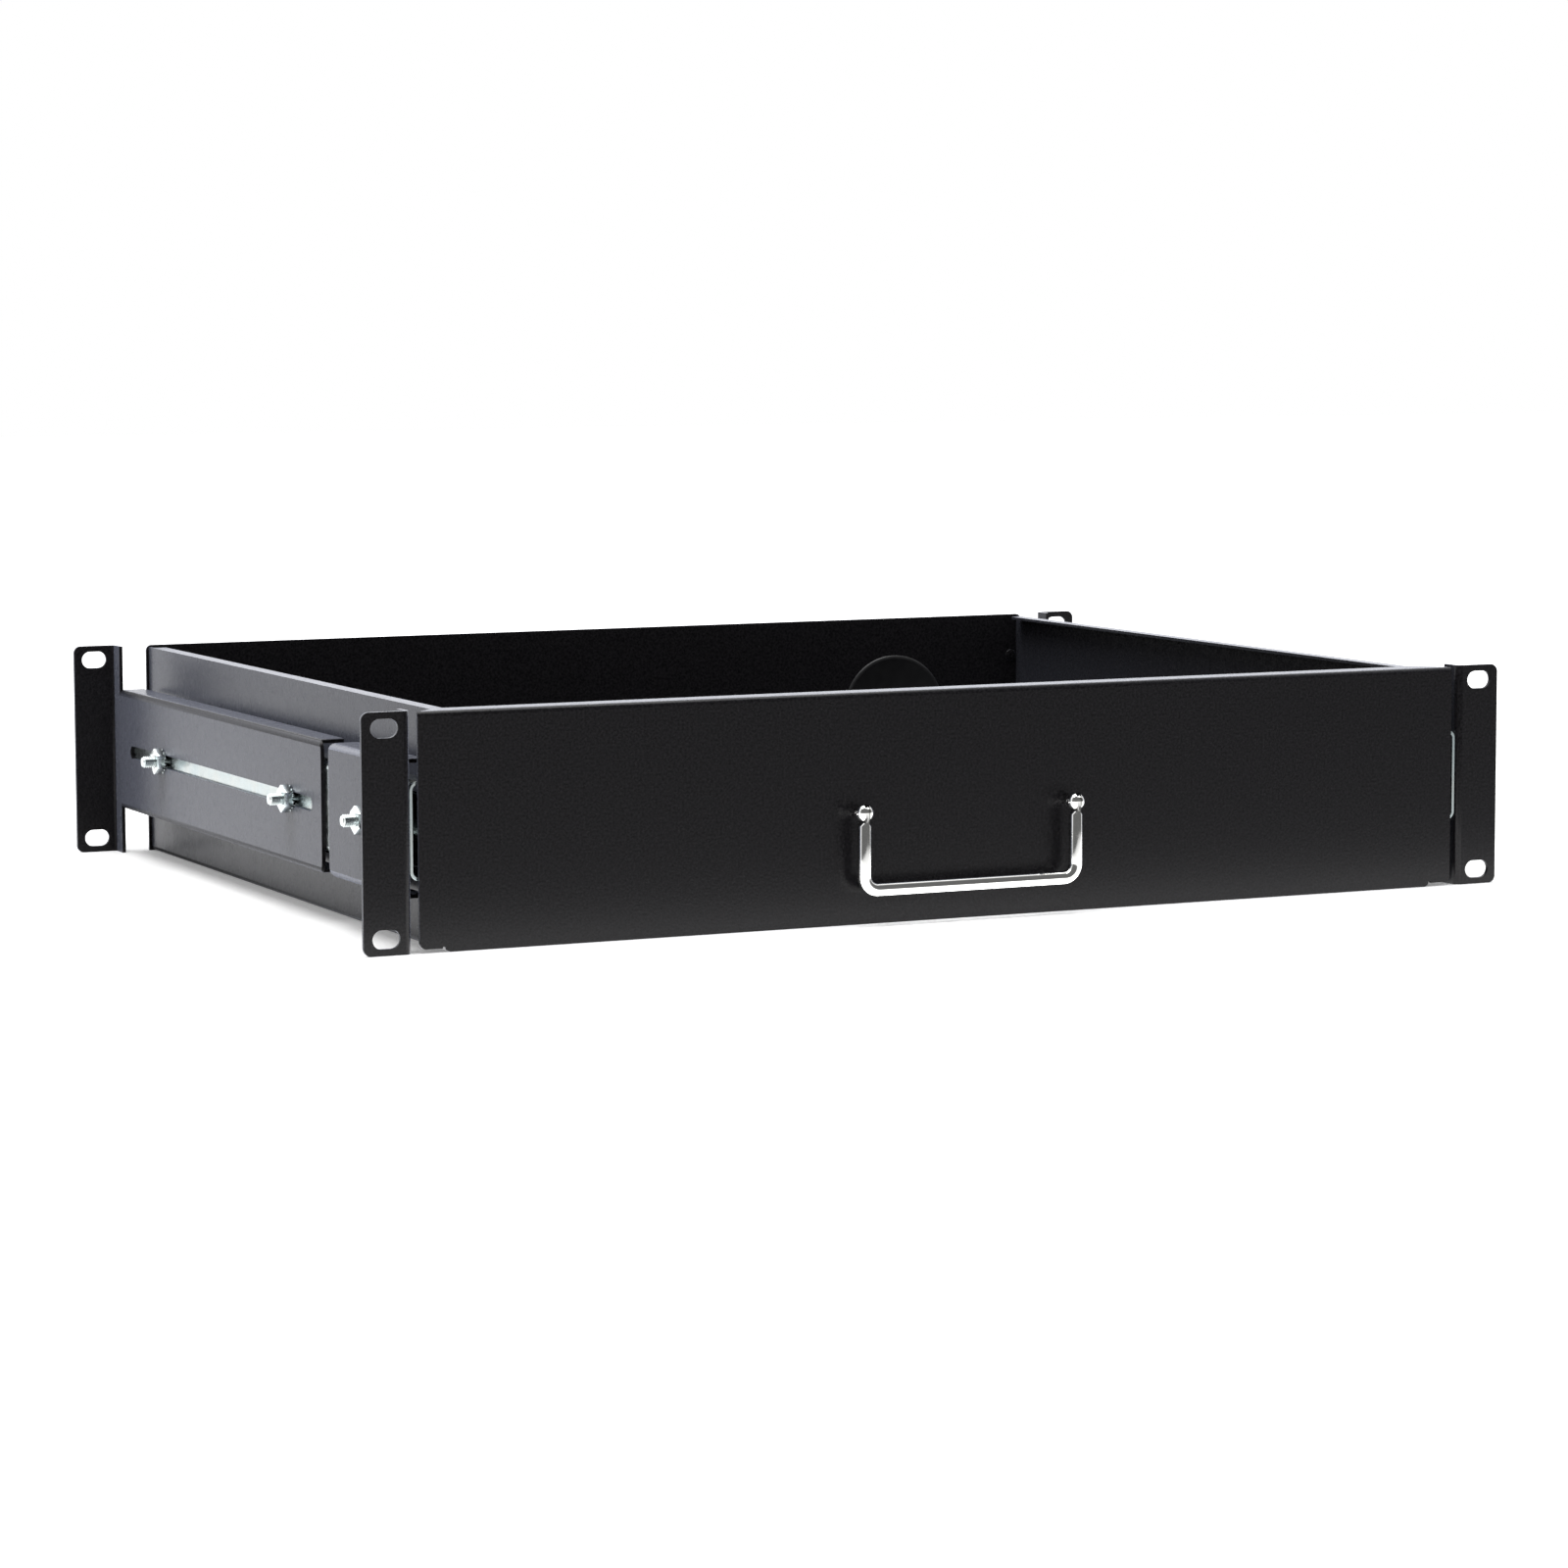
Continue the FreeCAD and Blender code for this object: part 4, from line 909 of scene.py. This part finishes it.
class RACKDRAWER_OT_make_handle_bail(bpy.types.Operator):
    """Model the bent rod handle with its flattened, drilled ends"""

    bl_idname = "rackdrawer.make_handle_bail"
    bl_label = "Handle"

    def execute(self, context):
        detail = context.scene.rackdrawer_detail
        low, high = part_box("handle_bail")
        radius = (high.y - low.y) / 2
        pin_low, pin_high = solid_boxes("handle_pins")[0]
        pivot = centre_of((pin_low, pin_high))
        bend = radius * BEND_SHARE
        leg_x = low.x + radius
        leg_low = low.z + radius + bend
        leg_high = pivot.z - TONGUE_DROP
        middle = (low.y + high.y) / 2

        clear_selection()
        bpy.ops.mesh.primitive_cylinder_add(
            vertices=40, radius=radius, depth=leg_high - leg_low,
            location=(leg_x, middle, (leg_low + leg_high) / 2))
        bail = start_piece("handle_rod")
        edit(bail)
        select_where(bail, "faces", facing((0, 0, -1)))
        bpy.ops.mesh.spin(steps=12, angle=math.radians(90), center=(leg_x + bend, middle, leg_low),
                          axis=(0, 1, 0), use_auto_merge=False)
        extrude((-leg_x - bend, 0, 0))
        bpy.ops.mesh.delete(type="FACE")
        select_where(bail, "faces", lambda f: f.calc_center_median().z > leg_high - SNAP)
        extrude((0, 0, detail.leg_shoulder * 0.3), (0.88, 0.96, 1))
        extrude((0, 0, detail.leg_shoulder * 0.5), (0.60, 0.98, 1))
        leave_edit()
        apply_modifier(bail, "MIRROR", merge_threshold=SNAP)

        half_width = radius * 0.92
        bore = (pin_high.z - pin_low.z) / 2 * 1.04
        start = leg_high - TONGUE_ROOT
        height = pivot.z - start
        to_side = Matrix.Rotation(math.radians(90), 4, "Y")
        for centre in (leg_x, -leg_x):
            bar = add_block("tongue", (TONGUE, half_width * 2, height), (centre, middle, start + height / 2))
            end = add_cylinder("tongue_end", 48, half_width, TONGUE)
            end.data.transform(Matrix.Translation((centre - TONGUE / 2, middle, pivot.z)) @ to_side)
            combine(bar, end, "UNION")
            combine(bail, bar, "UNION")
            hole = add_cylinder("tongue_hole", 32, bore, TONGUE * 3)
            hole.data.transform(Matrix.Translation((centre - TONGUE * 1.5, middle, pivot.z)) @ to_side)
            combine(bail, hole, "DIFFERENCE")
        dress(bail, "handle", chrome(context.scene.rackdrawer_finish), ("handle_bail",))
        return {"FINISHED"}


# ---------------------------------------------------------------- stage

FLOOR_SIZE = 12.0
NEAR_BAND = (-0.11, -0.02)      # along Y, where the near glow rises towards the panel
PANEL_BAND = (0.0, 0.02)        # along Y, where it falls to its share beside the drawer
FAR_BAND = (0.5, 1.3)           # from the origin, where the contact glow rises to the floor glow
BACKDROP_BAND = (-0.35, 0.25)   # of the sight line's Y part, from the dim front to the bright back
SOFTBOX_SIZE = (1.6, 1.2)
SOFTBOX_PLACE = (-0.2, 0.1, 1.5)


class RACKDRAWER_OT_make_stage(bpy.types.Operator):
    """Add the floor, the surroundings, the lights and the camera"""

    bl_idname = "rackdrawer.make_stage"
    bl_label = "Stage"

    def execute(self, context):
        settings = context.scene.rackdrawer_stage
        make_floor(settings)
        make_surroundings(settings)
        make_lights(settings)
        make_camera(settings)
        context.scene.view_settings.view_transform = "Standard"
        return {"FINISHED"}


def make_floor(settings):
    """White to the camera; to gloss it is bright by the panel and fades in front of it."""
    clear_selection()
    bpy.ops.mesh.primitive_plane_add(size=FLOOR_SIZE, location=(0, 0, CAD_LOW.z))
    floor = start_piece("floor")
    look = Finish("white_floor")
    look.set(Roughness=0.9, Specular_IOR_Level=0.0, Emission_Color=(1, 1, 1, 1))
    path = look.nodes.new("ShaderNodeLightPath")
    split = look.nodes.new("ShaderNodeSeparateXYZ")
    look.links.new(look.place, split.inputs["Vector"])
    fade = look.spread(split.outputs["Y"], 0.0, 1.0, start=settings.fade_start, end=settings.fade_end)
    white = (*settings.floor_colour, 1)
    seen_in_gloss = look.blend(fade, (*[settings.front_floor] * 3, 1), white)
    look.drive("Base Color", look.blend(path.outputs["Is Glossy Ray"], white, seen_in_gloss))
    nearing = look.spread(split.outputs["Y"], 0.0, settings.near_glow, *NEAR_BAND)
    passing = look.spread(split.outputs["Y"], 1.0, settings.side_share, *PANEL_BAND)
    near = look.calculate("MULTIPLY", nearing, passing)
    near = look.calculate("MULTIPLY", near, path.outputs["Is Glossy Ray"])
    distance = look.nodes.new("ShaderNodeVectorMath")
    distance.operation = "LENGTH"
    look.links.new(look.place, distance.inputs[0])
    far = look.spread(distance.outputs["Value"], settings.contact_glow, settings.floor_glow, *FAR_BAND)
    direct = look.calculate("MULTIPLY", path.outputs["Is Camera Ray"], far)
    look.drive("Emission Strength", look.calculate("ADD", direct, near))
    floor.data.materials.append(look.material)


def make_surroundings(settings):
    """White to the camera; a bright back and a dim front to gloss; even soft light."""
    world = bpy.data.worlds.new("studio")
    bpy.context.scene.world = world
    world.use_nodes = True
    nodes = world.node_tree.nodes
    links = world.node_tree.links
    background = nodes["Background"]
    place = nodes.new("ShaderNodeTexCoord")
    split = nodes.new("ShaderNodeSeparateXYZ")
    links.new(place.outputs["Generated"], split.inputs["Vector"])
    glow = nodes.new("ShaderNodeMapRange")
    glow.interpolation_type = "SMOOTHSTEP"
    glow.inputs["From Min"].default_value = BACKDROP_BAND[0]
    glow.inputs["From Max"].default_value = BACKDROP_BAND[1]
    glow.inputs["To Min"].default_value = settings.front_glow
    glow.inputs["To Max"].default_value = settings.backdrop_glow
    links.new(split.outputs["Y"], glow.inputs["Value"])
    path = nodes.new("ShaderNodeLightPath")
    for_gloss = nodes.new("ShaderNodeMix")
    for_gloss.data_type = "FLOAT"
    for_gloss.inputs["A"].default_value = settings.ambient
    links.new(path.outputs["Is Glossy Ray"], for_gloss.inputs["Factor"])
    links.new(glow.outputs["Result"], for_gloss.inputs["B"])
    for_camera = nodes.new("ShaderNodeMix")
    for_camera.data_type = "FLOAT"
    for_camera.inputs["B"].default_value = 1.0
    links.new(path.outputs["Is Camera Ray"], for_camera.inputs["Factor"])
    links.new(for_gloss.outputs["Result"], for_camera.inputs["A"])
    links.new(for_camera.outputs["Result"], background.inputs["Strength"])
    background.inputs["Color"].default_value = (1, 1, 1, 1)


def make_lights(settings):
    """One large soft light above the drawer."""
    lamp = bpy.data.lights.new("overhead_softbox", "AREA")
    lamp.shape = "RECTANGLE"
    lamp.size, lamp.size_y = SOFTBOX_SIZE
    lamp.energy = settings.key_power
    holder = bpy.data.objects.new("overhead_softbox", lamp)
    bpy.context.scene.collection.objects.link(holder)
    holder.location = SOFTBOX_PLACE


def make_camera(settings):
    heading, dip, roll = settings.camera_heading, settings.camera_dip, settings.camera_roll
    sight = Vector((math.sin(heading) * math.cos(dip), math.cos(heading) * math.cos(dip), -math.sin(dip)))
    right = Vector((math.cos(heading), -math.sin(heading), 0))
    up = right.cross(sight)
    turned_right = right * math.cos(roll) + up * math.sin(roll)
    turned_up = up * math.cos(roll) - right * math.sin(roll)
    data = bpy.data.cameras.new("studio_camera")
    data.sensor_width = 36
    data.lens = settings.camera_lens
    data.clip_start = 0.05
    data.clip_end = 50
    camera = bpy.data.objects.new("studio_camera", data)
    bpy.context.scene.collection.objects.link(camera)
    turn = Matrix((turned_right, turned_up, -sight)).transposed()
    camera.matrix_world = Matrix.Translation(settings.camera_place) @ turn.to_4x4()
    bpy.context.scene.camera = camera


# ---------------------------------------------------------------- add-on

class RACKDRAWER_PT_panel(bpy.types.Panel):
    """Buttons for each group of pieces"""

    bl_idname = "RACKDRAWER_PT_panel"
    bl_label = "Rack drawer"
    bl_space_type = "VIEW_3D"
    bl_region_type = "UI"
    bl_category = "Rack drawer"

    def draw(self, context):
        for operator in OPERATORS:
            self.layout.operator(operator.bl_idname)
        for name in SETTINGS:
            group = getattr(context.scene, name)
            column = self.layout.column()
            for key in group.bl_rna.properties.keys():
                if key not in ("rna_type", "name"):
                    column.prop(group, key)


SETTINGS = {
    "rackdrawer_finish": RackDrawerFinish,
    "rackdrawer_detail": RackDrawerDetail,
    "rackdrawer_stage": RackDrawerStage,
}

OPERATORS = (
    RACKDRAWER_OT_make_stage,
    RACKDRAWER_OT_finish_sheet_metal,
    RACKDRAWER_OT_finish_slides,
    RACKDRAWER_OT_make_bracket_nuts,
    RACKDRAWER_OT_make_lock_washers,
    RACKDRAWER_OT_make_bracket_screws,
    RACKDRAWER_OT_make_drawer_screws,
    RACKDRAWER_OT_make_rivets,
    RACKDRAWER_OT_make_cable_plug,
    RACKDRAWER_OT_make_handle_posts,
    RACKDRAWER_OT_make_handle_pins,
    RACKDRAWER_OT_make_handle_bail,
)


def register():
    for group in SETTINGS.values():
        bpy.utils.register_class(group)
    for name, group in SETTINGS.items():
        setattr(bpy.types.Scene, name, bpy.props.PointerProperty(type=group))
    for item in (*OPERATORS, RACKDRAWER_PT_panel):
        bpy.utils.register_class(item)


def unregister():
    for item in (RACKDRAWER_PT_panel, *reversed(OPERATORS)):
        bpy.utils.unregister_class(item)
    for name, group in SETTINGS.items():
        delattr(bpy.types.Scene, name)
        bpy.utils.unregister_class(group)


def main():
    register()
    for operator in OPERATORS:
        group, name = operator.bl_idname.split(".")
        getattr(getattr(bpy.ops, group), name)()


if __name__ == "__main__":
    main()
